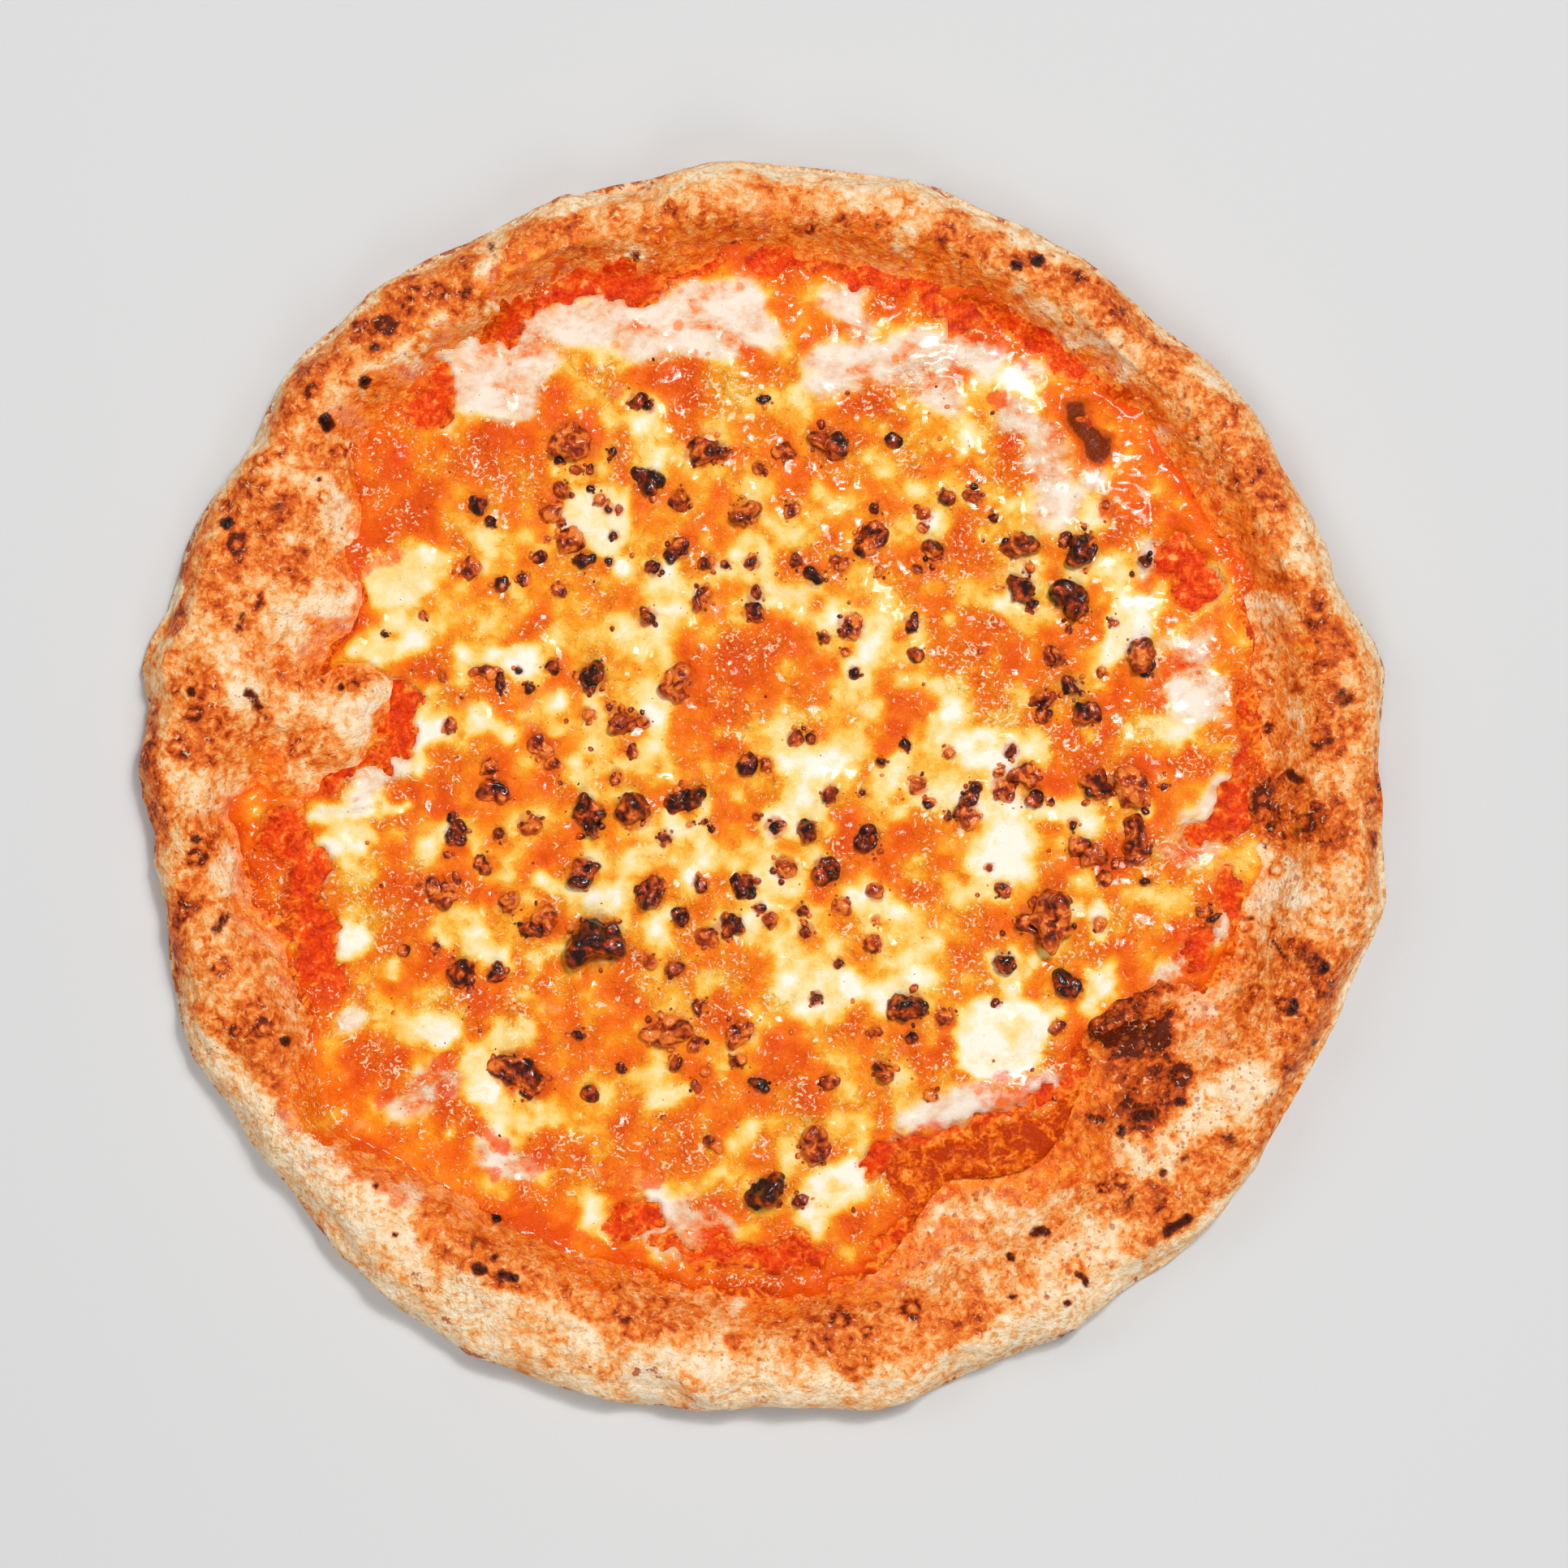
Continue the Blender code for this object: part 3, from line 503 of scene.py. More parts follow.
# Domes and hollows of the crust: (x, y, half width, height[, length, turn]).
CRUST_MOUNDS = [
    (141, -6, 8, 1.6, 6, -20), (155, -10, 4, 1.0, 5, 70), (148, -46, 6, 1.4), (153, -10, 4, 0.8),
    (-131, 61, 6, 1.2, 6, -30), (-134, 34, 3.4, -0.9, 6, 110), (-142.5, 45, 2, -0.9, 4, 70),
    (-138, 23, 3, -0.9, 6, -60), (-134, 17.5, 2.4, 0.8, 6, 10), (-147, 9, 3, 0.8),
    (-147, -30, 4, 1.1, 6, 80), (-109, 25, 2.6, 0.9, 8, 75), (-116, 27.5, 2, -0.9), (-106, 120, 2.8, 0.9),
    (-108.5, 110.5, 2.2, 0.7), (-119, 99.5, 2.4, 0.8), (-137, 84, 4, 1.0), (-146, 72, 2.2, 0.8),
    (67, -126, 3, 1.0), (100, -113, 3, 0.8), (108, -111, 2.6, 0.8), (127, -96, 3, 0.7),
    (72, 142, 3, 0.8, 6, 0), (98, 130, 2.6, 0.7), (144, 46, 2.6, 0.7), (136, 62, 2.4, 0.7),
    (104, 117, 3, -0.6, 3, 90), (-72.5, -117.5, 2.2, 0.9), (-130, -69, 2, 0.8), (158, 24, 3.4, 0.9),
    (-132, -40, 5, 0.6), (-102, -128, 8, 0.8), (-114, 19, 12, 6.5, 14, 65), (-127, 12, 10, 4.0, 18, 78),
    (-104, 40, 4, 3.0, 8, 80), (-15, -172, 13, 2.2, 8, 5), (-166, 35, 6, 1.6), (-124, 115, 6, 1.4),
    (-122, 48, 9, 0.9), (120, 80, 7, 0.6), (92, -103, 5, 0.7), (-60, -128, 6, 0.7), (20, -142, 7, 0.7),
]
# The big bubble, raised straight up.
BUBBLE_MOUNDS = [
    (102, -61, 7, 6.4, 18, 30), (107.5, -62, 2.8, 1.3), (99, -65, 2.4, 1.1), (103, -58.5, 2.4, 0.9),
    (94, -66, 2.2, 0.8), (101.5, -70.5, 4.4, -0.9, 16, 24), (108, -84, 9, 2.2, 6, -30),
    (91.5, -79, 2.4, 1.0, 12, 88), (121, -60, 3, 0.9, 5, -30),
]


def spread_blisters():
    """Small blisters and pores all over the rim: (x, y, half width, height)."""
    draw = np.random.default_rng(SEED + 2)
    found = []
    for x, y in seeded_places(260, 126.0, 171.0, 4.2, SEED + 3):
        found.append((x, y, draw.uniform(0.9, 2.4), draw.choice([-0.35, 0.3, 0.45, 0.6])))
    return found


CRUST_BLISTERS = spread_blisters()

# Toasted lumps of cheese: (x, y, half width[, length ratio, turn[, toast]]).
LARGE_LUMPS = [
    (-46, -42, 6.6, 1.2, 30, 0.62), (77, -37, 6.2, 1.35, -10, 0.26), (72, 3, 3.2, 1.5, -30), (66, 0, 3.0),
    (74, -3, 2.6), (-69, -77, 4.4, 1.4, -20), (-63, -82, 4.0, 1.2, 40), (84, 51, 4.4, 1.15, 0),
    (87, 64, 3.8, 1.3, 30), (83, 68, 1.8), (89, 68, 1.8), (103, 36, 3.6, 1.1, 50),
    (105, 33, 3.2, 1.4, 80), (-27, -67, 4.8), (-48, -8, 4.2, 1.5, 95), (-35, -7, 4.2),
    (102, -13, 3.4, 1.5, 100), (103, -18, 2.8), (97, -21, 1.3), (40, -61, 4.2, 1.5, 10),
    (-31, -29, 3.8, 1.6, 40), (-47, 30, 3.8), (-24, 28, 3.8), (18, -23, 3.8, 1.2, 20),
    (92, 0, 3.9, 1.3, -40), (101, -1, 3.8), (89, 21, 3.2, 1.2, 30), (84, 28, 3.4), (77, 24, 2.4, 1.8, 0),
    (77, 20, 1.8, 1.3, -30), (80, 36, 2.8, 1.1, -40), (70, 66, 3.2, 1.6, 10), (57, -2, 2.2, 1.8, 70),
    (56, -8, 3.2, 1.1, 0), (-61, 11, 3.0, 1.2, 120), (-58, 7, 2.2), (-54, 95, 4.2, 1.1, -20),
    (18, 94, 4.2), (-17, 92, 3.8), (-12, 92, 2.6), (1, -111, 4.2), (14, -99, 3.8), (29, 68, 3.6, 1.5, 20),
    (-83, -51, 3.6), (-91, -27, 2.4), (-88, -29, 3.0, 1.3, -10), (-73, -1, 3.2, 1.3, -10),
    (-60, -37, 3.2), (-64, -39, 2.6), (-76, 31.5, 1.6, 3.0, 4), (-72, 28, 1.3, 2.8, 96), (-5, 75, 3.4),
    (-32, 84, 3.4), (-49, -23, 3.4), (-6, -67, 3.4), (-21, -3, 3.6, 1.5, 20), (-38, 18, 3.4),
    (24, 44, 3.2, 1.4, 40), (29, -14, 3.4), (-5, -27, 3.0, 1.5, -45), (86, -16, 2.6, 1.3, -50),
    (90, -18, 2.8, 1.2, 0), (-9, -38, 3.2), (33, -78, 3.0), (83, -54, 3.2, 1.4, -20),
    (66, -48, 2.8, 1.4, -25), (-53, 67, 3.0), (-58, 76, 2.6, 1.2, 60), (-55, 81, 2.2), (47, 64, 2.8),
    (-23, 65, 2.6, 1.6, 30), (58, 80, 2.4), (-64, -10, 2.9, 1.2, 20), (-84, -13, 2.8),
    (-70, -32, 2.7, 1.2, 0), (21, 61, 2.7), (-32, 47, 2.6), (-73, -51, 2.3, 1.3, 0), (6, -22, 2.9),
    (121, -34, 1.8, 1.6, 20), (124, -36, 1.4, 1.8, 40), (105, 62, 1.6), (71, 54, 2.8), (74, 50, 1.8),
    (-86, 17, 1.7, 1.9, 75), (-75, 6, 2.0, 1.3, 20), (-77, -21, 2.2, 1.2, -20), (-72, -13, 1.8),
    (69, 56, 2.0),
]
SMALL_LUMPS = [
    (-45, 79, 1.4), (-42.5, 76.5, 1.3), (-39.5, 76, 1.1), (-47, 82, 0.9), (-41, 69, 1.2), (-47, 87, 1.5),
    (-51, 87, 1.4), (-17, 50.5, 2.4), (-3, 48, 2.4), (41, 45, 2.0), (22.5, 37, 1.3), (25, 31.5, 1.5),
    (42, 36, 1.8), (17, 41, 1.5), (-42, 22, 1.5), (-48, 20, 2.0), (-33, 18, 1.8), (-36, 10, 1.5),
    (-40.5, 3, 1.8), (-20, -10, 1.0), (-16, -9.5, 1.0), (-14, -11.5, 1.0), (-13.5, -9, 1.0),
    (-27, -14, 2.0), (-1.5, -8, 1.0), (3.5, -11, 2.6), (12, -11.5, 2.4), (18.8, -2, 2.2), (9, 13.5, 2.0),
    (13, 13.5, 1.5), (-4, 6.5, 2.4), (1, 6.5, 1.7), (39, 11.5, 1.5), (32.5, 7, 1.3), (51, 9.5, 1.5),
    (42.5, 0.5, 2.4), (45.5, -4.5, 1.5), (27.5, -1.5, 1.2), (-1, -33, 1.5), (-17, -26.5, 2.0),
    (-22, -35, 2.4), (-15, -41.5, 2.7), (-31, -48, 1.8), (-24, -50, 2.4), (2, -36.5, 2.0),
    (10.5, -34, 1.8), (12, -40, 2.2), (21.5, -33, 2.4), (31, -29, 2.0), (31, -36.5, 1.2), (30, -43, 2.3),
    (20.5, -48, 1.3), (31, -67, 1.5), (41, -68, 2.0), (50, -63, 2.4), (-17.5, -60, 1.8), (14.5, -58, 1.7),
    (-24, -76, 2.0), (-18, -70, 2.0), (-7, -75, 2.0), (-15.5, -78, 1.3), (-18.5, -82, 1.2),
    (-1, -81.5, 2.4), (-38.5, -77, 1.7), (-47, -84, 2.0), (-51, -68, 2.0), (18, -81, 2.4),
    (46, -84.5, 1.8), (-13.5, -98, 2.0), (10, -113.5, 1.8), (-1, 87.5, 1.6), (-23, 78.5, 2.7),
    (-30, 79.5, 1.3), (-41, 91.5, 1.6), (-34.5, 106, 2.3), (-31, 104.5, 1.5), (8, 76, 2.0),
    (31, 76.5, 1.5), (44.5, 75, 2.0), (50.5, 79.5, 2.0), (0, 106.5, 1.5), (6, 92, 2.6), (36, 95, 1.7),
    (44, 71, 1.3), (42.5, 60, 1.4), (14, 57.5, 2.4), (32, 59, 1.5), (-15, 61.5, 2.4), (-10, 61, 1.2),
    (-30, 60, 2.0), (-3, 61.5, 2.0), (-48.5, 62.5, 2.4), (-16.5, 53, 2.3), (-2, 53, 2.0), (9, 62, 1.8),
    (-78, 77, 2.1), (-74.5, 72.5, 1.5), (-80, 60, 2.4), (-72, 56, 1.8), (-66, 57, 1.7), (-56, 54, 1.8),
    (-61, 63, 1.8), (-55.5, 73, 1.2), (-56, 90, 1.5), (-59, 68, 1.0), (-64, 27, 1.5), (-67, 32, 1.0),
    (-58, 33, 1.8), (-85, -8, 1.2), (-86.5, -18.5, 1.2), (-84, -25, 1.5), (-98, -45, 1.8),
    (-89.5, -44, 1.7), (-88, 30.5, 1.2), (63, 74, 1.5), (94, 77.5, 1.0), (88, 71.5, 0.9), (73, 60, 1.4),
    (68, 10, 1.9), (58, 82.5, 1.2), (65, 4, 1.5), (79, -4, 1.0), (85, -10, 1.4), (105, -6, 1.2),
    (94, -25, 1.8), (66, -28, 2.0), (92, -37.5, 1.8), (64, -59, 1.2), (81, -66, 1.8), (93, 31.5, 1.4),
    (96, 45, 1.3), (84, 43, 1.0), (51, -8, 1.4), (62, -22, 1.0), (-93, 47, 1.2), (-104, 42, 0.9),
    (110, 0, 1.2), (105, -26, 1.4), (-42, 62, 1.2),
]


# ---------------------------------------------------------------------------------------------
# Surfaces
# ---------------------------------------------------------------------------------------------

def on_plan(places):
    """Places measured from the plan's own origin, flat."""
    flat = places - PLAN_SHIFT
    flat[:, 2] = 0.0
    return flat


def rim_reach(places):
    """Distance in mm from the rim's foot, positive on the rim's slope."""
    return np.hypot(places[:, 0], places[:, 1]) - SAUCE_EDGE.at(places) - 1.2


def sauce_height(places):
    """Height of the sauce, which creeps unevenly up the foot of the rim."""
    flat = on_plan(places)
    reach = np.maximum(rim_reach(places), 0.0)
    bare = laid(wander(flat, 7.0, 1.6, 23), BARE_SAUCE, 2.0)
    film = -1.2 - 0.2 * reach + 0.7 * layered(flat, 11.0, 3, 22) + 2.6 * bare
    clear = laid(wander(flat, *FOOT_WANDER), CLEAR_FOOT, 2.0)
    dough = laid(wander(flat, *DOUGH_WANDER), BARE_DOUGH, 2.0)
    height = np.maximum(SAUCE_TOP, CRUST_LEVEL.at(places) + np.clip(film, -3.0, 0.9))
    height += 0.4 * layered(flat, 4.5, 3, 21) - 4.0 * clear - 6.0 * dough
    return np.maximum(height, SAUCE_LOWEST)


def cheese_cover(places):
    """How thickly cheese covers each place: 1 full, 0 its edge, below 0 none."""
    flat = on_plan(places)
    moved = wander(flat, *CHEESE_WANDER)
    inside = SAUCE_EDGE.at(places) - np.hypot(places[:, 0], places[:, 1])
    cover = np.clip((inside + 3.5 + 3.6 * layered(flat, 12.0, 3, 32)) / 4.0, -1.0, 1.0)
    cover = np.maximum(cover, 2.0 * laid(moved, PINK_VEILS + CREAM_POOLS, 1.6) - 1.0)
    for dabs, wandering, edge in (
            (BARE_SAUCE, BARE_SAUCE_WANDER, 2.4), (OILY_POCKETS, POCKET_WANDER, 2.4),
            (CLEAR_FOOT, FOOT_WANDER, 2.4), (BARE_DOUGH, DOUGH_WANDER, 2.0)):
        cover -= 2.2 * laid(wander(flat, *wandering), dabs, edge)
    return np.clip(cover, -1.0, 1.0)


def cheese_height(places):
    """Height of the melted cheese, with its pools, folds and fine wrinkles."""
    flat = on_plan(places)
    cover = cheese_cover(places)
    under = np.maximum(SAUCE_TOP, CRUST_LEVEL.at(places))
    full = np.maximum(CHEESE_LEVEL.at(places), under + 0.9) - under
    thick = np.where(cover > 0.0, full * np.sqrt(np.clip(cover, 0.0, 1.0)), 5.0 * cover)
    wrinkle = 1.0 - 0.7 * soft_step((cheese_paleness(places) - 0.74) / 0.2)
    relief = 0.4 * layered(flat, 9.0, 2, 41) + 0.5 * wrinkle * layered(flat, 3.8, 3, 42)
    mounds = add_mounds(wander(flat, 9.0, 1.2, 43), CHEESE_MOUNDS)
    height = under + thick + (relief + mounds) * np.clip(0.3 + cover, 0.0, 1.0)
    return np.maximum(height, CHEESE_LOWEST)


def cheese_paleness(places):
    """How pale the cheese is: 0 oily red-orange to 1 white."""
    flat = on_plan(places)
    moved = wander(flat, *CHEESE_WANDER)
    radius = np.hypot(flat[:, 0], flat[:, 1])
    pale = 0.61 - 0.19 * soft_step((radius - 55.0) / 60.0)
    pale -= 0.24 * soft_step((6.0 + radius - SAUCE_EDGE.at(places)) / 8.0)
    for dabs, edge in ((OILY_FIELDS, 5.0), (YELLOW_FIELDS, 3.5), (CREAM_POOLS, 2.6), (PINK_VEILS, 3.4)):
        pale = lay_dabs(pale, moved, dabs, edge)
    uneven = 0.32 * layered(flat, 9.0, 2, 52) + 0.16 * layered(flat, 4.4, 2, 53)
    pale = pale - 0.03 + uneven * (1.0 - 0.5 * soft_step((pale - 0.84) / 0.12))
    return 0.6 + np.where(pale < 0.6, 1.1, 0.94) * (pale - 0.6)


def toast_nearby(flat):
    """How close each place of the plan is to a toasted lump, from 0 to 1."""
    near = np.zeros(len(flat))
    for x, y, half_width, *_ in LARGE_LUMPS + SMALL_LUMPS:
        away = np.hypot(flat[:, 0] - x, flat[:, 1] - y) - half_width
        near = np.maximum(near, np.clip(1.0 - away / (1.4 + 0.5 * half_width), 0.0, 1.0))
    return near


def crust_relief(places):
    """Fine lumps, blisters and pores of the rim, in mm along its surface."""
    flat = on_plan(places)
    relief = 0.8 * lumps(places, 10.0, 61) + 0.5 * lumps(places, 5.0, 62) + 0.28 * lumps(places, 2.6, 63)
    relief += add_mounds(wander(flat, 7.0, 0.8, 65), CRUST_MOUNDS)
    for x, y, size, height in CRUST_BLISTERS:
        relief += height * np.exp(-(np.hypot(flat[:, 0] - x, flat[:, 1] - y) / size) ** 2)
    return relief


# ---------------------------------------------------------------------------------------------
# Meshes
# ---------------------------------------------------------------------------------------------

def link_piece(name, corners, faces):
    """Make a mesh piece from places in mm."""
    mesh = bpy.data.meshes.new(name)
    mesh.from_pydata((corners * MM).tolist(), [], faces)
    mesh.update()
    piece = bpy.data.objects.new(name, mesh)
    bpy.context.scene.collection.objects.link(piece)
    mesh.shade_smooth()
    return piece


def keep_values(piece, name, values):
    """Keep one number for each corner of a piece, for its material."""
    attribute = piece.data.attributes.new(name, "FLOAT", "POINT")
    attribute.data.foreach_set("value", np.asarray(values, dtype=np.float32))


def round_sheet(name, pitch, overlap, height_at, floor):
    """A closed sheet that runs on past the sauce's outline by overlap: a fine top over a flat underside."""
    ticks = np.arange(-SHEET_REACH, SHEET_REACH + pitch, pitch)
    count = len(ticks)
    east, north = np.meshgrid(ticks, ticks, indexing="ij")
    places = np.column_stack([east.ravel(), north.ravel(), np.zeros(count * count)])
    radius = np.hypot(places[:, 0], places[:, 1])
    limit = SAUCE_EDGE.at(places) + overlap
    inside = (radius < limit).reshape(count, count)
    whole = inside[:-1, :-1] & inside[1:, :-1] & inside[1:, 1:] & inside[:-1, 1:]
    rows, columns = np.nonzero(whole)
    first = rows * count + columns
    quads = np.column_stack([first, first + count, first + count + 1, first + 1])
    used = np.unique(quads)
    fresh = np.full(count * count, -1)
    fresh[used] = np.arange(len(used))
    quads = fresh[quads]
    places = places[used]
    limit = limit[used]
    starts = quads.ravel()
    ends = np.roll(quads, -1, axis=1).ravel()
    pairs = set(zip(starts.tolist(), ends.tolist()))
    border = {start: end for start, end in pairs if (end, start) not in pairs}
    loop = [next(iter(border))]
    while border[loop[-1]] != loop[0]:
        loop.append(border[loop[-1]])
    rim = np.array(loop)
    scale = limit[rim] / np.hypot(places[rim, 0], places[rim, 1])
    places[rim, 0] *= scale
    places[rim, 1] *= scale
    places[:, 2] = height_at(places)
    top_count = len(places)
    under = places[rim].copy()
    under[:, 2] = floor
    corners = np.vstack([places, under])
    faces = quads.tolist()
    size = len(loop)
    for index in range(size):
        after = (index + 1) % size
        faces.append((loop[after], loop[index], top_count + index, top_count + after))
    faces.append(tuple(top_count + index for index in reversed(range(size))))
    return link_piece(name, corners, faces)


def rim_rows():
    """Sections of the rim's surface from its hidden floor over the crest to the underside."""
    tree = node_tree("crust")
    sections = np.zeros((SECTION_TURNS, CRUST_ROWS, 2))
    angles = np.arange(SECTION_TURNS) * 2 * math.pi / SECTION_TURNS
    for index, angle in enumerate(angles):
        heading = np.array([math.cos(angle), math.sin(angle), 0.0])
        start = SAUCE_EDGE.at(heading[None, :])[0] - FLOOR_REACH
        core = CRUST_EDGE.at(heading[None, :])[0] - CORE_DEPTH
        steps = np.linspace(start, core, SECTION_STEPS)
        inner = np.column_stack([steps, CRUST_LEVEL.at(steps[:, None] * heading[None, :])])
        outer = []
        for lift in np.linspace(*RAY_LIFTS, SECTION_RAYS):
            slant = math.radians(lift)
            ray = Vector((heading[0] * math.cos(slant), heading[1] * math.cos(slant), math.sin(slant)))
            middle = Vector((heading[0] * core * MM, heading[1] * core * MM, CORE_HEIGHT * MM))
            hit = tree.ray_cast(middle, ray)[0]
            outer.append((math.hypot(hit.x, hit.y) / MM, max(hit.z / MM, 0.0)))
        line = np.vstack([inner, np.array(outer)])
        walked = np.concatenate([[0.0], np.cumsum(np.hypot(*np.diff(line, axis=0).T))])
        floor_rows = np.linspace(0.0, COARSE_REACH, FLOOR_ROWS, endpoint=False)
        fine_rows = np.linspace(COARSE_REACH, walked[-1], CRUST_ROWS - FLOOR_ROWS)
        even = np.concatenate([floor_rows, fine_rows])
        sections[index, :, 0] = np.interp(even, walked, line[:, 0])
        sections[index, :, 1] = np.interp(even, walked, line[:, 1])
    return angles, (np.roll(sections, 1, 0) + 2 * sections + np.roll(sections, -1, 0)) / 4


def rim_places():
    """The rim's surface as a fine grid of places, one row for each turn."""
    angles, sections = rim_rows()
    fine = np.arange(CRUST_TURNS) * 2 * math.pi / CRUST_TURNS
    grid = np.zeros((CRUST_TURNS, CRUST_ROWS, 3))
    for row in range(CRUST_ROWS):
        radius = np.interp(fine, angles, sections[:, row, 0], period=2 * math.pi)
        height = np.interp(fine, angles, sections[:, row, 1], period=2 * math.pi)
        grid[:, row, 0] = radius * np.cos(fine)
        grid[:, row, 1] = radius * np.sin(fine)
        grid[:, row, 2] = height
    return grid


def roughened(grid):
    """Push the rim's fine lumps and blisters out along its surface."""
    around = np.roll(grid, -1, 0) - np.roll(grid, 1, 0)
    across = np.gradient(grid, axis=1)
    normal = np.cross(around, across)
    normal /= np.linalg.norm(normal, axis=2, keepdims=True)
    if normal[0, CRUST_ROWS // 2, 2] < 0:
        normal = -normal
    flat = grid.reshape(-1, 3)
    relief = crust_relief(flat).reshape(CRUST_TURNS, CRUST_ROWS)
    rows = np.arange(CRUST_ROWS)
    fade = soft_step(rows / 8.0) * soft_step((CRUST_ROWS - 1 - rows) / 8.0)
    shaped = grid + normal * (relief * fade)[:, :, None]
    bubble = add_mounds(wander(on_plan(shaped.reshape(-1, 3)), 5.0, 0.8, 65), BUBBLE_MOUNDS)
    shaped[:, :, 2] += bubble.reshape(CRUST_TURNS, CRUST_ROWS) * fade
    shaped[:, :, 2] = np.maximum(shaped[:, :, 2], 0.0)
    return lipped(shaped)


def lipped(grid):
    """Leave a thin lip at the foot of the rim's outer side."""
    places = grid.reshape(-1, 3)
    radius = np.hypot(places[:, 0], places[:, 1])
    edge = CRUST_EDGE.at(places) - radius
    width = np.clip(1.6 + 1.8 * layered(on_plan(places), 24.0, 2, 66), 0.0, 3.4)
    high = soft_step((places[:, 2] - 2.6) / 2.4)
    drawn_in = width * high * soft_step((10.0 - edge) / 8.0)
    low = (1.0 - high) * (places[:, 2] > 0.6)
    spread = np.clip(edge - 0.4, 0.0, 3.0) * low * soft_step((7.0 - edge) / 2.0)
    places[:, :2] *= (1.0 + (spread - drawn_in) / radius)[:, None]
    return grid


# ---------------------------------------------------------------------------------------------
# Materials
# ---------------------------------------------------------------------------------------------

def linear(red, green, blue):
    """A colour as the eye sees it, 0 to 255, in Blender's linear values."""
    parts = []
    for value in (red, green, blue):
        value /= 255.0
        parts.append(value / 12.92 if value <= 0.04045 else ((value + 0.055) / 1.055) ** 2.4)
    return tuple(parts)


def opaque(colour):
    """A colour without see-through."""
    return (*tuple(colour)[:3], 1.0)


def feed(tree, socket, value):
    """Give a socket a plain value, or link another node's socket to it."""
    if isinstance(value, bpy.types.NodeSocket):
        tree.links.new(value, socket)
    else:
        socket.default_value = value


def add_node(tree, kind, inputs=None, **settings):
    """Add a shader or geometry node; an input is a plain value or another node's socket."""
    made = tree.nodes.new(kind)
    for name, value in settings.items():
        setattr(made, name, value)
    for key, value in (inputs or {}).items():
        feed(tree, made.inputs[key], value)
    return made


def maths(tree, operation, first, second=0.0, third=0.0):
    """One arithmetic step; returns its socket."""
    made = add_node(tree, "ShaderNodeMath", {0: first, 1: second, 2: third}, operation=operation)
    return made.outputs[0]


def plus(tree, first, second):
    """Sum of two values."""
    return maths(tree, "ADD", first, second)


def minus(tree, first, second):
    """Difference of two values."""
    return maths(tree, "SUBTRACT", first, second)


def times(tree, first, second):
    """Product of two values."""
    return maths(tree, "MULTIPLY", first, second)


def stepped(tree, value, low, high):
    """Ease a value from 0 at low to 1 at high."""
    made = add_node(tree, "ShaderNodeMapRange", {"Value": value, "From Min": low, "From Max": high},
                    interpolation_type="SMOOTHSTEP")
    return made.outputs["Result"]


def blended(tree, amount, below, above):
    """Mix two colours; returns the colour socket."""
    made = add_node(tree, "ShaderNodeMix", {"Factor": amount}, data_type="RGBA")
    for socket, colour in ((made.inputs[6], below), (made.inputs[7], above)):
        feed(tree, socket, colour if isinstance(colour, bpy.types.NodeSocket) else opaque(colour))
    return made.outputs[2]


def colour_scale(tree, value, stops):
    """Turn a value into a colour along stops of (place, colour)."""
    made = add_node(tree, "ShaderNodeValToRGB", {"Fac": value})
    band = made.color_ramp
    band.elements[0].position = stops[0][0]
    band.elements[1].position = stops[-1][0]
    for place, _ in stops[1:-1]:
        band.elements.new(place)
    for element, (_, colour) in zip(band.elements, stops):
        element.color = opaque(colour)
    return made.outputs["Color"]


def stored(tree, name):
    """A number kept on the piece's corners."""
    return add_node(tree, "ShaderNodeAttribute", attribute_name=name).outputs["Fac"]


def new_group(name, sockets):
    """An empty shader group with named float inputs and one value output."""
    group = bpy.data.node_groups.new(name, "ShaderNodeTree")
    for label, default in sockets:
        made = group.interface.new_socket(label, in_out="INPUT", socket_type="NodeSocketFloat")
        made.default_value = default
    group.interface.new_socket("Value", in_out="OUTPUT", socket_type="NodeSocketFloat")
    entry = group.nodes.new("NodeGroupInput")
    leave = group.nodes.new("NodeGroupOutput")
    return group, entry, leave


def mottle_group():
    """Uneven cloudy mottling about zero, for baked and melted surfaces."""
    name = "baked_mottle"
    if name in bpy.data.node_groups:
        return bpy.data.node_groups[name]
    group, entry, leave = new_group(name, [
        ("Size", 4.0), ("Detail", 4.0), ("Strength", 0.2), ("Twist", 0.4), ("Stretch", 1.0)])
    place = add_node(group, "ShaderNodeTexCoord").outputs["Object"]
    across = maths(group, "DIVIDE", 1.0, entry.outputs["Stretch"])
    squeeze = add_node(group, "ShaderNodeCombineXYZ", {"X": across, "Y": 1.0, "Z": 1.0}).outputs[0]
    drawn = add_node(group, "ShaderNodeVectorMath", {0: place, 1: squeeze}, operation="MULTIPLY")
    fineness = maths(group, "DIVIDE", 1.0 / MM, entry.outputs["Size"])
    cloud = add_node(group, "ShaderNodeTexNoise", {
        "Vector": drawn.outputs[0], "Scale": fineness, "Detail": entry.outputs["Detail"], "Roughness": 0.6,
        "Distortion": entry.outputs["Twist"]})
    centred = minus(group, cloud.outputs[0], 0.5)
    group.links.new(times(group, centred, entry.outputs["Strength"]), leave.inputs[0])
    return group


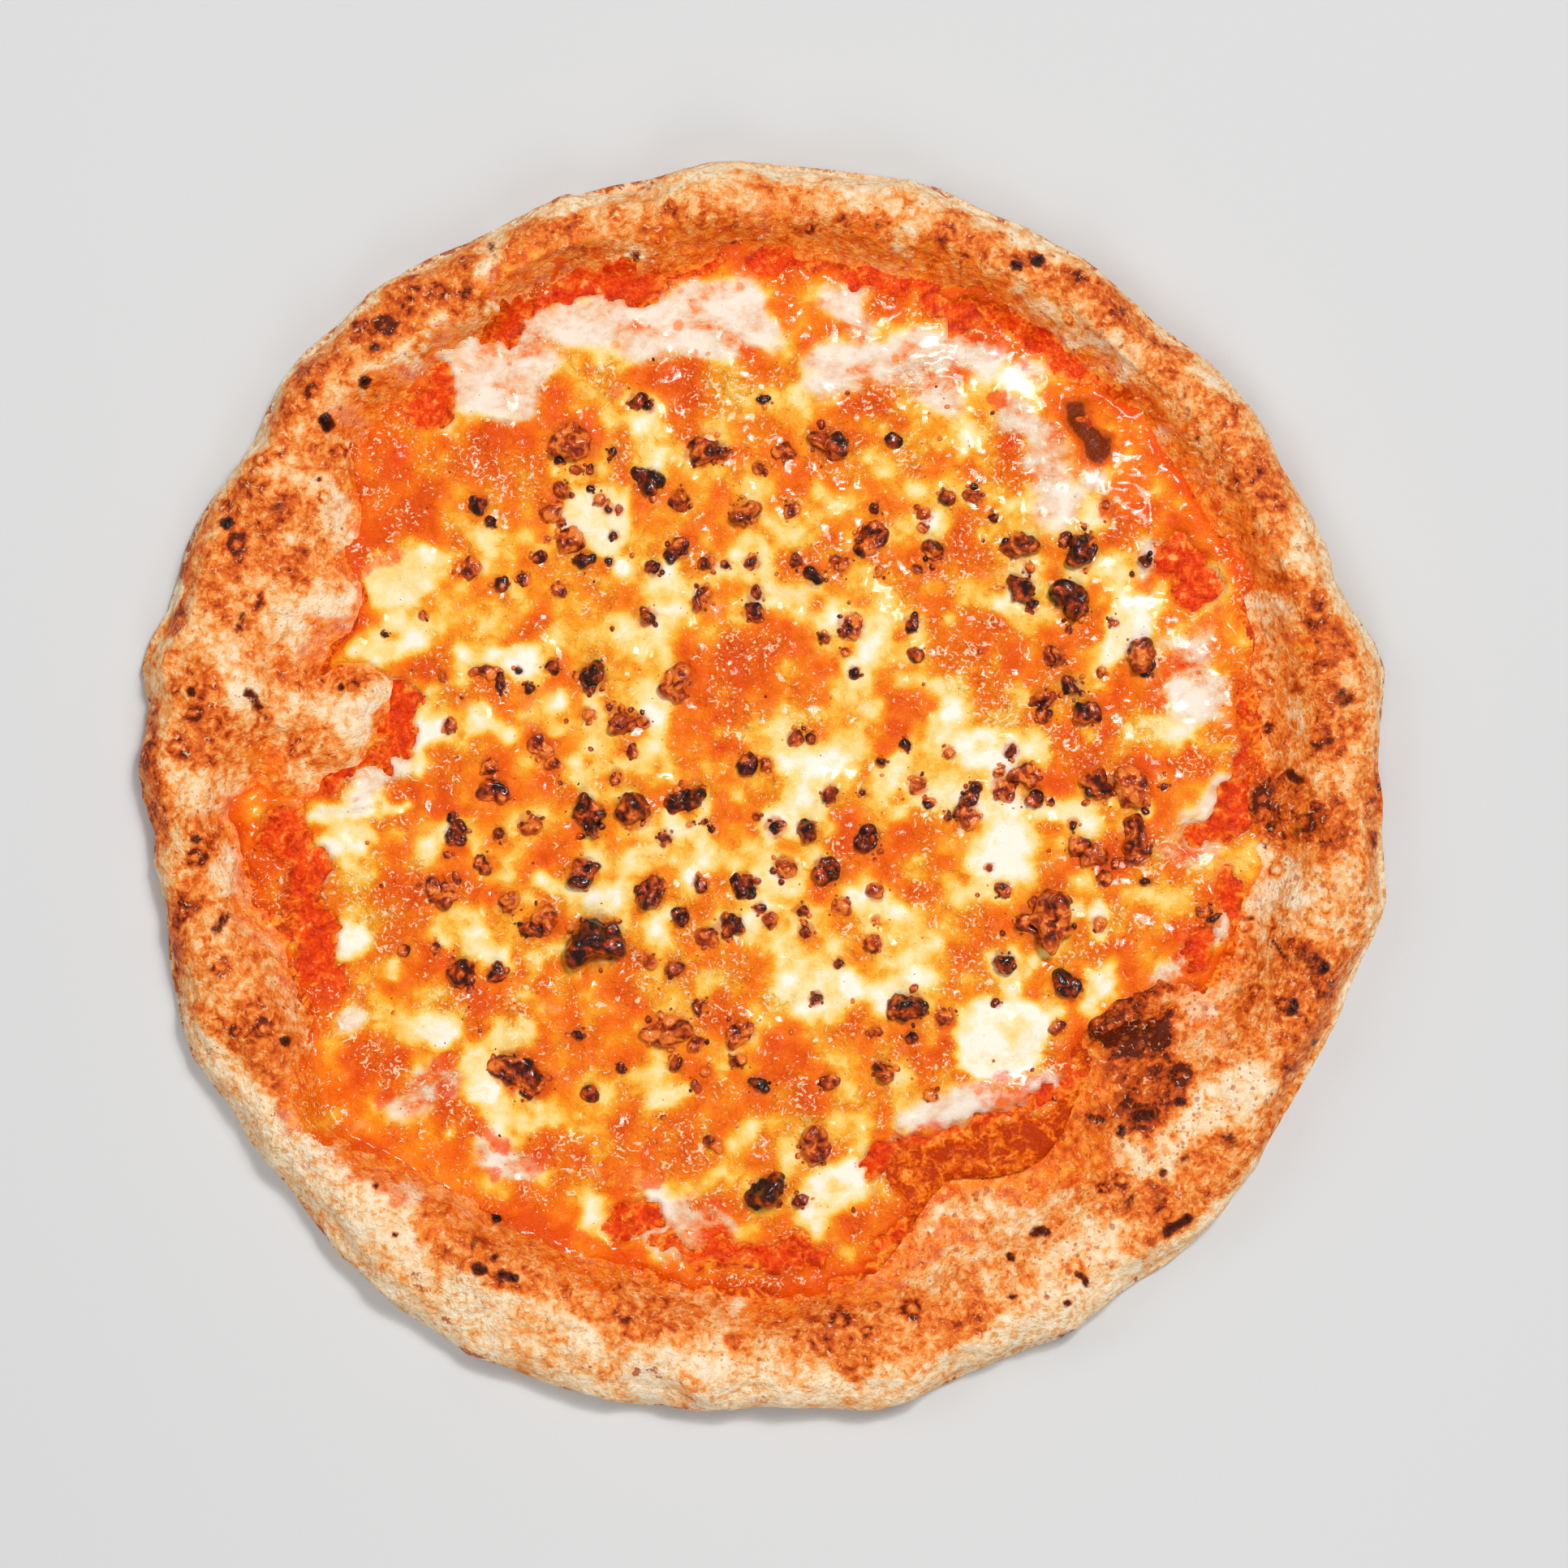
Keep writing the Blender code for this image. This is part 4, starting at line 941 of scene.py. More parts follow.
def speckle_group():
    """Small scattered specks of uneven size: 1 on a speck and 0 beside it."""
    name = "baked_specks"
    if name in bpy.data.node_groups:
        return bpy.data.node_groups[name]
    group, entry, leave = new_group(name, [("Size", 1.5), ("Cover", 0.3)])
    place = add_node(group, "ShaderNodeTexCoord").outputs["Object"]
    fineness = maths(group, "DIVIDE", 1.0 / MM, entry.outputs["Size"])
    bend = add_node(group, "ShaderNodeTexNoise", {"Vector": place, "Scale": times(group, fineness, 1.7)})
    shift = add_node(group, "ShaderNodeVectorMath", {0: bend.outputs[1], 1: (0.9 * MM, 0.9 * MM, 0.9 * MM)},
                     operation="MULTIPLY")
    moved = add_node(group, "ShaderNodeVectorMath", {0: place, 1: shift.outputs[0]}, operation="ADD")
    cells = add_node(group, "ShaderNodeTexVoronoi", {"Vector": moved.outputs[0], "Scale": fineness})
    chance = add_node(group, "ShaderNodeSeparateColor", {"Color": cells.outputs["Color"]})
    reach = times(group, chance.outputs[0], entry.outputs["Cover"])
    inner = times(group, reach, 0.6)
    mask = add_node(group, "ShaderNodeMapRange", {
        "Value": cells.outputs["Distance"], "From Min": reach, "From Max": inner,
        "To Min": 0.0, "To Max": 1.0},
        interpolation_type="SMOOTHSTEP")
    group.links.new(mask.outputs["Result"], leave.inputs[0])
    return group


def mottle(tree, size, strength, detail=4.0, twist=0.4, stretch=1.0):
    """Place the mottling group with its own values."""
    made = add_node(tree, "ShaderNodeGroup", {
        "Size": size, "Strength": strength, "Detail": detail, "Twist": twist, "Stretch": stretch},
        node_tree=mottle_group())
    return made.outputs[0]


def specks(tree, size, cover):
    """Place the speck group with its own values."""
    made = add_node(tree, "ShaderNodeGroup", {"Size": size, "Cover": cover}, node_tree=speckle_group())
    return made.outputs[0]


def new_material(name):
    """An empty Principled material; returns it, its tree and its shader."""
    material = bpy.data.materials.new(name)
    material.use_nodes = True
    tree = material.node_tree
    return material, tree, tree.nodes["Principled BSDF"]


def bumped(tree, shader, heights):
    """Raise fine relief: heights are (socket, distance in mm) from coarse to fine."""
    normal = None
    for height, distance in heights:
        inputs = {"Height": height, "Distance": distance * MM, "Strength": 1.0}
        if normal is not None:
            inputs["Normal"] = normal
        normal = add_node(tree, "ShaderNodeBump", inputs).outputs["Normal"]
    tree.links.new(normal, shader.inputs["Normal"])


def crust_material(look):
    """Baked dough: pale and golden ground, brown leopard spots, flour and oily stains, and painted shade and
    highlights on the big bubble; its pale specks are partly flour and partly painted glints.
    """
    material, tree, shader = new_material("baked_dough")
    # How baked the crust is, with the big bubble's painted shade and highlights in it.
    bake_and_painted_light = plus(tree, stored(tree, "bake_and_painted_light"), mottle(tree, 7.5, 0.9, detail=3.5, twist=0.5))
    bake_and_painted_light = plus(tree, bake_and_painted_light, mottle(tree, 2.5, 1.3, detail=3.0, twist=0.5))
    ground = colour_scale(tree, bake_and_painted_light, [
        (0.02, look.raw), (0.22, look.pale), (0.37, look.peach), (0.53, look.golden), (0.7, look.brown),
        (0.88, look.dark), (1.0, look.burnt)])
    oily = stepped(tree, plus(tree, stored(tree, "oil"), mottle(tree, 4.0, 0.8)), 0.25, 0.8)
    stain = colour_scale(tree, plus(tree, 0.5, mottle(tree, 3.0, 1.8)), [
        (0.2, look.oil_dark), (0.5, look.oil), (0.8, look.oil_light)])
    ground = blended(tree, times(tree, oily, 0.8), ground, stain)
    blotch = specks(tree, 4.4, times(tree, stored(tree, "freckle"), 0.55))
    ground = blended(tree, times(tree, blotch, 0.4), ground, look.brown)
    freckled = plus(tree, stored(tree, "freckle"), mottle(tree, 7.0, 1.2))
    for size, cover in ((3.0, 0.5), (1.5, 0.5)):
        spots = specks(tree, size, times(tree, freckled, cover))
        ground = blended(tree, times(tree, spots, 0.65), ground, look.freckle)
    # Pale specks over the ground: partly flour, partly painted highlights that stand in for small glints.
    grains = stepped(tree, mottle(tree, 1.6, 1.0, detail=1.5, twist=1.0), 0.13, 0.2)
    ground = blended(tree, times(tree, grains, 0.55), ground, look.flour)
    dusty = stepped(tree, plus(tree, stored(tree, "flour"), mottle(tree, 1.5, 1.5, detail=3.0)), 0.35, 0.75)
    dust = colour_scale(tree, plus(tree, 0.5, mottle(tree, 2.0, 1.8)), [
        (0.3, look.flour_shade), (0.5, look.flour), (0.72, look.flour_light)])
    ground = blended(tree, times(tree, dusty, 0.85), ground, dust)
    char = plus(tree, stored(tree, "char"), mottle(tree, 2.0, 0.9))
    burn = colour_scale(tree, char, [(0.35, look.dark), (0.62, look.burnt), (0.9, look.char)])
    ground = blended(tree, stepped(tree, char, 0.2, 0.6), ground, burn)
    tree.links.new(ground, shader.inputs["Base Color"])
    wet = maths(tree, "MAXIMUM", oily, stepped(tree, char, 0.2, 0.6))
    tree.links.new(minus(tree, 0.56, times(tree, wet, 0.34)), shader.inputs["Roughness"])
    shader.inputs["Specular IOR Level"].default_value = 0.2
    bumped(tree, shader, [
        (mottle(tree, 2.6, 1.0, detail=3.0), 1.3), (mottle(tree, 1.2, 1.0, detail=2.0), 0.35)])
    return material


def cheese_material(look):
    """Melted cheese: cream pools, yellow to oily orange fields, grainy patches and painted highlights as
    small pale glint flecks.
    """
    material, tree, shader = new_material("melted_cheese")
    ripple = mottle(tree, 3.4, 1.0, detail=4.0, twist=0.9)
    grain = mottle(tree, 1.4, 1.0, detail=2.0, twist=1.0)
    veil = stored(tree, "veil")
    pale = plus(tree, stored(tree, "pale"), times(tree, ripple, 0.42))
    pale = plus(tree, pale, times(tree, grain, 0.12))
    melted = colour_scale(tree, maths(tree, "MULTIPLY_ADD", pale, 0.9, 0.02), [
        (0.0, look.oil_red), (0.16, look.oil_orange), (0.34, look.orange), (0.48, look.amber),
        (0.58, look.yellow), (0.68, look.buttery), (0.8, look.cream), (0.94, look.white)])
    broad = mottle(tree, 7.5, 1.8, detail=5.0, stretch=1.5)
    streaks = plus(tree, maths(tree, "MULTIPLY_ADD", pale, 0.7, 0.14), broad)
    streaks = plus(tree, streaks, mottle(tree, 2.4, 0.5, detail=2.0, stretch=1.4))
    veiled = colour_scale(tree, streaks, [
        (0.26, look.sauce_red), (0.4, look.veil_red), (0.53, look.veil_pink), (0.69, look.veil_pale),
        (0.95, look.veil_white)])
    thin = plus(tree, veil, mottle(tree, 6.0, 1.5, detail=5.0, stretch=1.4))
    colour = blended(tree, stepped(tree, thin, 0.05, 1.0), melted, veiled)
    blots = times(tree, specks(tree, 5.5, 0.36), times(tree, veil, 0.75))
    colour = blended(tree, blots, colour, look.orange)
    through = stepped(tree, plus(tree, stored(tree, "red"), mottle(tree, 2.2, 1.0)), 0.3, 0.9)
    colour = blended(tree, times(tree, through, 0.8), colour, look.sauce_red)
    # Painted highlights: small pale glint flecks mixed into the colour, more of them on grainy patches.
    painted_glints = mottle(tree, 1.9, 1.0, detail=1.5, twist=1.6)
    painted_glints = plus(tree, painted_glints, times(tree, stored(tree, "grain_and_painted_glint"), 0.1))
    colour = blended(tree, times(tree, stepped(tree, painted_glints, 0.16, 0.24), 0.8), colour, look.grain_and_painted_glint)
    singed = stepped(tree, plus(tree, stored(tree, "toast"), mottle(tree, 2.2, 1.2)), 0.5, 1.1)
    colour = blended(tree, times(tree, singed, 0.7), colour, look.singed)
    scorch = plus(tree, stored(tree, "scorch"), mottle(tree, 3.0, 0.6))
    pit = colour_scale(tree, scorch, [
        (0.3, look.oil_red), (0.6, look.singed), (0.85, look.bit), (1.0, look.scorch)])
    scorch = stepped(tree, scorch, 0.1, 0.5)
    colour = blended(tree, scorch, colour, pit)
    bits = specks(tree, 2.4, plus(tree, 0.12, times(tree, stored(tree, "toast"), 0.3)))
    colour = blended(tree, times(tree, bits, 0.9), colour, look.bit)
    tree.links.new(colour, shader.inputs["Base Color"])
    smooth = stepped(tree, pale, 0.5, 0.92)
    tree.links.new(plus(tree, 0.22, times(tree, smooth, 0.16)), shader.inputs["Roughness"])
    shader.inputs["Specular IOR Level"].default_value = 0.12
    tree.links.new(maths(tree, "MULTIPLY_ADD", scorch, -0.4, 0.42), shader.inputs["Coat Weight"])
    shader.inputs["Coat Roughness"].default_value = 0.09
    evened = minus(tree, 1.0, times(tree, smooth, 0.75))
    rough = times(tree, times(tree, grain, evened), plus(tree, 0.7, stored(tree, "grain_and_painted_glint")))
    bumped(tree, shader, [(times(tree, ripple, evened), 0.9), (rough, 0.6)])
    return material


def sauce_material(look):
    """Tomato sauce: wet, grainy red with a few painted pale highlights, thinning to an oily orange film at
    the rim.
    """
    material, tree, shader = new_material("tomato_sauce")
    shade = plus(tree, 0.4, mottle(tree, 6.0, 1.7, twist=1.0))
    shade = plus(tree, shade, mottle(tree, 2.0, 1.2, detail=2.0, twist=1.0))
    shade = plus(tree, shade, times(tree, stored(tree, "thick"), 0.12))
    shade = minus(tree, shade, times(tree, stored(tree, "deep"), 0.1))
    # The palest stop of the scale is a painted highlight colour.
    colour = colour_scale(tree, shade, [
        (0.1, look.dark), (0.38, look.deep), (0.58, look.red), (0.78, look.bright), (0.95, look.glint)])
    film = colour_scale(tree, shade, [(0.26, look.film_dark), (0.48, look.film), (0.74, look.film_light)])
    thick = plus(tree, times(tree, stored(tree, "thick"), 0.85), mottle(tree, 8.0, 1.5, twist=1.2))
    thick = stepped(tree, minus(tree, thick, stored(tree, "deep")), 0.3, 0.85)
    tree.links.new(blended(tree, thick, film, colour), shader.inputs["Base Color"])
    shader.inputs["Roughness"].default_value = 0.14
    shader.inputs["Specular IOR Level"].default_value = 0.12
    bumped(tree, shader, [(mottle(tree, 2.8, 1.0), 1.2), (mottle(tree, 1.2, 1.0, detail=2.0), 0.3)])
    return material


def toast_material(look):
    """Toasted cheese: rust-orange blistered lumps with nearly black tips."""
    material, tree, shader = new_material("toasted_cheese")
    shade = plus(tree, stored(tree, "toast"), mottle(tree, 3.4, 2.0, detail=1.5, twist=0.6))
    shade = plus(tree, shade, mottle(tree, 1.3, 0.3, detail=1.0))
    colour = colour_scale(tree, shade, [
        (0.02, look.amber), (0.2, look.rust), (0.4, look.brown), (0.54, look.dark), (0.72, look.black)])
    tree.links.new(colour, shader.inputs["Base Color"])
    shader.inputs["Roughness"].default_value = 0.2
    shader.inputs["Specular IOR Level"].default_value = 0.4
    shader.inputs["Coat Weight"].default_value = 0.4
    shader.inputs["Coat Roughness"].default_value = 0.08
    bumped(tree, shader, [(mottle(tree, 1.8, 1.0, detail=1.5), 0.9), (mottle(tree, 0.8, 1.0), 0.12)])
    return material


def plain_material(name, colour, roughness):
    """A plain material for the stage."""
    material, _, shader = new_material(name)
    shader.inputs["Base Color"].default_value = opaque(colour)
    shader.inputs["Roughness"].default_value = roughness
    shader.inputs["Specular IOR Level"].default_value = 0.2
    return material


# ---------------------------------------------------------------------------------------------
# Pieces
# ---------------------------------------------------------------------------------------------

def finish_piece(piece, material, slot, *nodes):
    """Give a piece its material and its body, and hide the solids that it stands for."""
    piece.data.materials.clear()
    piece.data.materials.append(material)
    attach(piece, "root")
    if nodes:
        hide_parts(*nodes)


def make_crust(look):
    """The dough: fine rim surface, hidden floor and flat underside."""
    grid = roughened(rim_places())
    corners = grid.reshape(-1, 3)
    faces = []
    for turn in range(CRUST_TURNS):
        after = (turn + 1) % CRUST_TURNS
        for row in range(CRUST_ROWS - 1):
            near = turn * CRUST_ROWS + row
            far = after * CRUST_ROWS + row
            faces.append((near, near + 1, far + 1, far))
    faces.append(tuple(turn * CRUST_ROWS for turn in range(CRUST_TURNS)))
    faces.append(tuple(turn * CRUST_ROWS + CRUST_ROWS - 1 for turn in reversed(range(CRUST_TURNS))))
    piece = link_piece("baked_crust", corners, faces)
    store_crust_values(piece, corners)
    finish_piece(piece, crust_material(look), "crust", "crust")


def store_crust_values(piece, corners):
    """Keep how baked, oily, floury, freckled and charred each corner of the crust is, with painted shade and
    highlights on the big bubble.
    """
    flat = on_plan(corners)
    moved = wander(flat, 10.0, 3.2, 71)
    radius = np.hypot(flat[:, 0], flat[:, 1])
    edge = CRUST_EDGE.at(corners) - radius
    angle = np.degrees(np.arctan2(flat[:, 1], flat[:, 0])) % 360
    band = np.interp(angle, *np.transpose(PALE_BAND), period=360) + 2.6 * layered(flat, 12.0, 3, 72)
    outer = soft_step((band - edge) / 3.0)
    bake_and_painted_light = 0.5 + 0.16 * layered(flat, 12.0, 3, 73)
    bake_and_painted_light = lay_dabs(bake_and_painted_light, moved, PALE_PATCHES, 3.0)
    bake_and_painted_light = lay_dabs(bake_and_painted_light, moved, BAKED_PATCHES, 3.0) - 0.06
    # Painted light on the big bubble: pale painted highlights on its ridge, dark painted shade in the fold
    # below it.
    bake_and_painted_light = lay_dabs(bake_and_painted_light, wander(flat, 5.0, 1.6, 65), BUBBLE_BAKE_AND_PAINTED_LIGHT, 2.6)
    for x, y, size, height in CRUST_BLISTERS:
        away = np.hypot(flat[:, 0] - x, flat[:, 1] - y) / size
        bake_and_painted_light += 0.62 * abs(height) * (1.3 * np.exp(-((away - 0.9) / 0.5) ** 2) - 0.4 * np.exp(-away ** 2))
    bake_and_painted_light = bake_and_painted_light * (1 - outer) + outer * (0.27 + 0.2 * layered(flat, 9.0, 3, 74))
    keep_values(piece, "bake_and_painted_light", bake_and_painted_light)
    reach = rim_reach(corners)
    oil = 0.95 * soft_step((13.0 - reach + 7.0 * layered(flat, 9.0, 3, 75)) / 10.0)
    keep_values(piece, "oil", lay_dabs(oil, moved, OILY_STAINS, 1.8))
    keep_values(piece, "flour", np.clip(outer * (0.5 + 0.4 * layered(flat, 8.0, 3, 76)), 0.0, 1.0))
    turned = np.abs((angle - 340.0 + 180.0) % 360.0 - 180.0)
    freckle = 0.5 + 0.4 * np.exp(-(turned / 50.0) ** 2) + 0.3 * layered(flat, 16.0, 2, 77)
    keep_values(piece, "freckle", np.clip(freckle * (1 - 0.6 * outer) * soft_step(edge / 3.0), 0.0, 1.0))
    char = lay_dabs(np.zeros(len(flat)), wander(flat, 3.0, 0.5, 78), CHARRED_SPOTS, 1.3)
    keep_values(piece, "char", char)


def make_sauce(look):
    """The sauce: a thin closed sheet that creeps up the foot of the rim."""
    piece = round_sheet("tomato_sauce", SAUCE_PITCH, SAUCE_OVERLAP, sauce_height, SAUCE_UNDERSIDE)
    flat = on_plan(corners_of(piece.data))
    red = laid(wander(flat, *BARE_SAUCE_WANDER), BARE_SAUCE + RED_GLIMPSES, 3.0)
    keep_values(piece, "thick", red)
    keep_values(piece, "deep", laid(wander(flat, *POCKET_WANDER), OILY_POCKETS, 5.0))
    finish_piece(piece, sauce_material(look), "sauce", "sauce")


def make_cheese(look):
    """The cheese: a fine closed sheet with pools, folds, wrinkles and bare patches."""
    piece = round_sheet("melted_cheese", CHEESE_PITCH, CHEESE_OVERLAP, cheese_height, CHEESE_UNDERSIDE)
    store_cheese_values(piece, corners_of(piece.data))
    finish_piece(piece, cheese_material(look), "cheese", "cheese")


def store_cheese_values(piece, corners):
    """Keep how pale, veiled, red, grainy with painted glint flecks, singed and scorched each corner of the
    cheese is.
    """
    flat = on_plan(corners)
    moved = wander(flat, *CHEESE_WANDER)
    cover = cheese_cover(corners)
    pale = cheese_paleness(corners)
    thin = soft_step((0.8 - cover) / 0.9)
    keep_values(piece, "pale", pale - 0.08 * thin)
    veil = laid(moved, PINK_VEILS, 3.5)
    near_sauce = laid(wander(flat, *BARE_SAUCE_WANDER), BARE_SAUCE, 3.6)
    keep_values(piece, "veil", np.clip(veil + near_sauce, 0.0, 1.0))
    red = lay_dabs(np.zeros(len(flat)), wander(flat, 6.0, 1.6, 82), RED_GLIMPSES, 1.8)
    keep_values(piece, "red", np.clip(red + 0.2 * layered(flat, 11.0, 3, 83) - 0.1, 0.0, 1.0))
    # Grainy patches and grainy oily cheese: more fine bump and more painted glint flecks.
    grain_and_painted_glint = laid(moved, GRAIN_AND_PAINTED_GLINT_AREAS, 3.0)
    oily = soft_step((0.62 - pale) / 0.15)
    grainy = 0.8 * oily * soft_step((layered(flat, 9.0, 3, 84) + 0.1) / 0.5)
    keep_values(piece, "grain_and_painted_glint", np.maximum(grain_and_painted_glint, grainy))
    keep_values(piece, "toast", toast_nearby(flat))
    keep_values(piece, "scorch", lay_dabs(np.zeros(len(flat)), moved, SCORCHES, 3.2))


def lump_tree(material, name, subdivisions):
    """Geometry nodes that put an uneven, blistered ball at each point of a cloud."""
    tree = bpy.data.node_groups.new(name, "GeometryNodeTree")
    interface = tree.interface
    interface.new_socket("Geometry", in_out="INPUT", socket_type="NodeSocketGeometry")
    for label, default in (("Blister Size", 1.6 * MM), ("Unevenness", 0.45), ("Flatness", 0.62)):
        interface.new_socket(label, in_out="INPUT", socket_type="NodeSocketFloat").default_value = default
    interface.new_socket("Seed", in_out="INPUT", socket_type="NodeSocketInt").default_value = SEED
    interface.new_socket("Geometry", in_out="OUTPUT", socket_type="NodeSocketGeometry")
    entry = tree.nodes.new("NodeGroupInput")
    leave = tree.nodes.new("NodeGroupOutput")
    half_width = named_value(tree, "half_width")
    long_side = times(tree, half_width, named_value(tree, "ratio"))
    height = times(tree, half_width, entry.outputs["Flatness"])
    size = add_node(tree, "ShaderNodeCombineXYZ", {0: long_side, 1: half_width, 2: height})
    heading = add_node(tree, "ShaderNodeCombineXYZ", {0: 0.0, 1: 0.0, 2: named_value(tree, "turn")})
    facing = add_node(tree, "FunctionNodeEulerToRotation", {0: heading.outputs[0]})
    ball = add_node(tree, "GeometryNodeMeshIcoSphere", {"Radius": 1.0, "Subdivisions": subdivisions})
    spread = add_node(tree, "GeometryNodeInstanceOnPoints", {
        "Points": entry.outputs["Geometry"], "Instance": ball.outputs["Mesh"],
        "Rotation": facing.outputs[0], "Scale": size.outputs[0]})
    joined = add_node(tree, "GeometryNodeRealizeInstances", {"Geometry": spread.outputs[0]})
    place = add_node(tree, "GeometryNodeInputPosition").outputs[0]
    fineness = maths(tree, "DIVIDE", 1.0, entry.outputs["Blister Size"])
    shuffled = times(tree, entry.outputs["Seed"], 0.731)
    coarseness = maths(tree, "DIVIDE", 1.0, maths(tree, "MULTIPLY_ADD", half_width, 1.3, 1.3 * MM))
    lump = add_node(tree, "ShaderNodeTexNoise", {
        "Vector": place, "W": shuffled, "Scale": coarseness, "Detail": 2.0,
        "Roughness": 0.5}, noise_dimensions="4D")
    blister = add_node(tree, "ShaderNodeTexVoronoi", {"Vector": place, "W": shuffled, "Scale": fineness},
                       voronoi_dimensions="4D")
    swell = times(tree, minus(tree, lump.outputs[0], 0.5), 4.6)
    crease = times(tree, minus(tree, 0.45, blister.outputs["Distance"]), 0.25)
    amount = times(tree, plus(tree, swell, crease), times(tree, half_width, entry.outputs["Unevenness"]))
    outward = add_node(tree, "GeometryNodeInputNormal").outputs[0]
    push = add_node(tree, "ShaderNodeVectorMath", {0: outward, "Scale": amount}, operation="SCALE")
    uneven = add_node(tree, "GeometryNodeSetPosition", {
        "Geometry": joined.outputs[0], "Offset": push.outputs[0]})
    smooth = add_node(tree, "GeometryNodeSetShadeSmooth", {"Geometry": uneven.outputs[0]})
    coated = add_node(tree, "GeometryNodeSetMaterial", {"Geometry": smooth.outputs[0], "Material": material})
    tree.links.new(coated.outputs[0], leave.inputs[0])
    return tree


def named_value(tree, name):
    """A float kept on the cloud's points."""
    made = add_node(tree, "GeometryNodeInputNamedAttribute", {"Name": name}, data_type="FLOAT")
    return made.outputs["Attribute"]


def lump_cloud(name, lumps_at, sink, toast):
    """Points for lumps on the cheese, with each one's size, stretch, turn and toast."""
    draw = np.random.default_rng(SEED + 5)
    rows = []
    for x, y, half_width, *shape in lumps_at:
        ratio = shape[0] if shape else draw.uniform(0.85, 1.4)
        turn = shape[1] if len(shape) > 1 else draw.uniform(0.0, 180.0)
        toasted = shape[2] if len(shape) > 2 else draw.uniform(*toast)
        rows.append((x, y, 0.94 * half_width, ratio, math.radians(turn), toasted))
    table = np.array(rows)
    places = np.column_stack([table[:, :2], np.zeros(len(table))]) + PLAN_SHIFT
    places[:, 2] = np.maximum(cheese_height(places), sauce_height(places)) + sink * table[:, 2]
    cloud = link_piece(name, places, [])
    for column, key, scale in ((2, "half_width", MM), (3, "ratio", 1.0), (4, "turn", 1.0), (5, "toast", 1.0)):
        keep_values(cloud, key, table[:, column] * scale)
    return cloud


def grow_lumps(name, lumps_at, sink, toast, material, subdivisions, values):
    """Grow a cloud of points into one plain mesh of uneven lumps."""
    cloud = lump_cloud(name + "_cloud", lumps_at, sink, toast)
    tree = lump_tree(material, name + "_tree", subdivisions)
    growth = cloud.modifiers.new("grow", "NODES")
    growth.node_group = tree
    for item in tree.interface.items_tree:
        if item.item_type == "SOCKET" and item.in_out == "INPUT" and item.name in values:
            growth[item.identifier] = values[item.name]
    grown = bpy.data.meshes.new_from_object(cloud.evaluated_get(bpy.context.evaluated_depsgraph_get()))
    cloud.modifiers.remove(growth)
    bpy.data.objects.remove(cloud, do_unlink=True)
    grown.name = name
    piece = bpy.data.objects.new(name, grown)
    bpy.context.scene.collection.objects.link(piece)
    return piece


def crumbs_around(lumps_at):
    """Small crumbs in broken rings around the lumps, and a few between them."""
    draw = np.random.default_rng(SEED + 7)
    rows = [(x, y, draw.uniform(0.3, 0.8)) for x, y in seeded_places(100, 5.0, 122.0, 4.0, SEED + 6)]
    for x, y, half_width, *_ in lumps_at:
        angle = draw.uniform(0.0, 2 * math.pi)
        for _ in range(int(1 + 0.7 * half_width)):
            angle += draw.uniform(0.3, 1.8)
            away = half_width * draw.uniform(0.75, 1.35) + 0.3
            size = draw.uniform(0.5, 1.1) * (0.4 + 0.2 * half_width)
            rows.append((x + away * math.cos(angle), y + away * math.sin(angle), size))
    return rows


def make_lumps(look):
    """The toasted lumps, large and small, and the toasted crumbs around them."""
    material = toast_material(look)
    large = grow_lumps("toasted_lumps", LARGE_LUMPS, look.rise, (0.14, 0.6), material, 4,
                       {"Blister Size": look.blister_size, "Unevenness": 0.8, "Flatness": 0.66, "Seed": SEED})
    finish_piece(large, material, "cheese", "cheese")
    small = grow_lumps("small_toasted_lumps", SMALL_LUMPS, look.rise, (0.1, 0.6), material, 3,
                       {"Blister Size": look.blister_size * 0.8, "Unevenness": 0.75, "Flatness": 0.6,
                        "Seed": SEED + 1})
    finish_piece(small, material, "cheese", "cheese")
    around = crumbs_around(LARGE_LUMPS + SMALL_LUMPS)
    crumbs = grow_lumps("toasted_crumbs", around, 0.1, (0.0, 0.4), material, 2,
                        {"Blister Size": 0.8 * MM, "Unevenness": 0.6, "Flatness": 0.7, "Seed": SEED + 2})
    finish_piece(crumbs, material, "cheese")


# ---------------------------------------------------------------------------------------------
# Stage
# ---------------------------------------------------------------------------------------------

def make_stage(look):
    """A pale floor, soft light and a camera straight above."""
    bpy.ops.mesh.primitive_plane_add(size=6.0, location=(0.0, 0.0, -0.0004))
    floor = bpy.context.object
    floor.name = "floor"
    floor.data.transform(floor.matrix_world)
    floor.matrix_world.identity()
    floor.data.materials.append(plain_material("pale_floor", look.floor, 0.7))
    add_light("key_light", (0.62, 0.66, 1.8), 0.5, look.key_power)
    add_light("sparkle_light", (0.5, 0.75, 1.8), 0.17, look.sparkle_power)
    add_light("left_fill", (-0.75, 0.25, 0.8), 0.6, look.fill_power, False)
    add_light("near_fill", (0.1, -0.8, 0.8), 0.6, 1.4 * look.fill_power, False)
    world = bpy.data.worlds.new("soft_room")
    world.use_nodes = True
    world.node_tree.nodes["Background"].inputs["Color"].default_value = (1.0, 1.0, 1.0, 1.0)
    world.node_tree.nodes["Background"].inputs["Strength"].default_value = look.room_light
    bpy.context.scene.world = world
    camera_data = bpy.data.cameras.new("camera")
    camera_data.sensor_width = 36.0
    camera_data.lens = 36.0 * (look.camera_height - FRAMED_LEVEL * MM) / look.frame_width
    camera = bpy.data.objects.new("camera", camera_data)
    east, north = (PLAN_SHIFT[:2] + CAMERA_OFFSET) * MM
    camera.location = (east, north, look.camera_height)
    bpy.context.scene.collection.objects.link(camera)
    bpy.context.scene.camera = camera
    bpy.context.scene.view_settings.view_transform = "Standard"


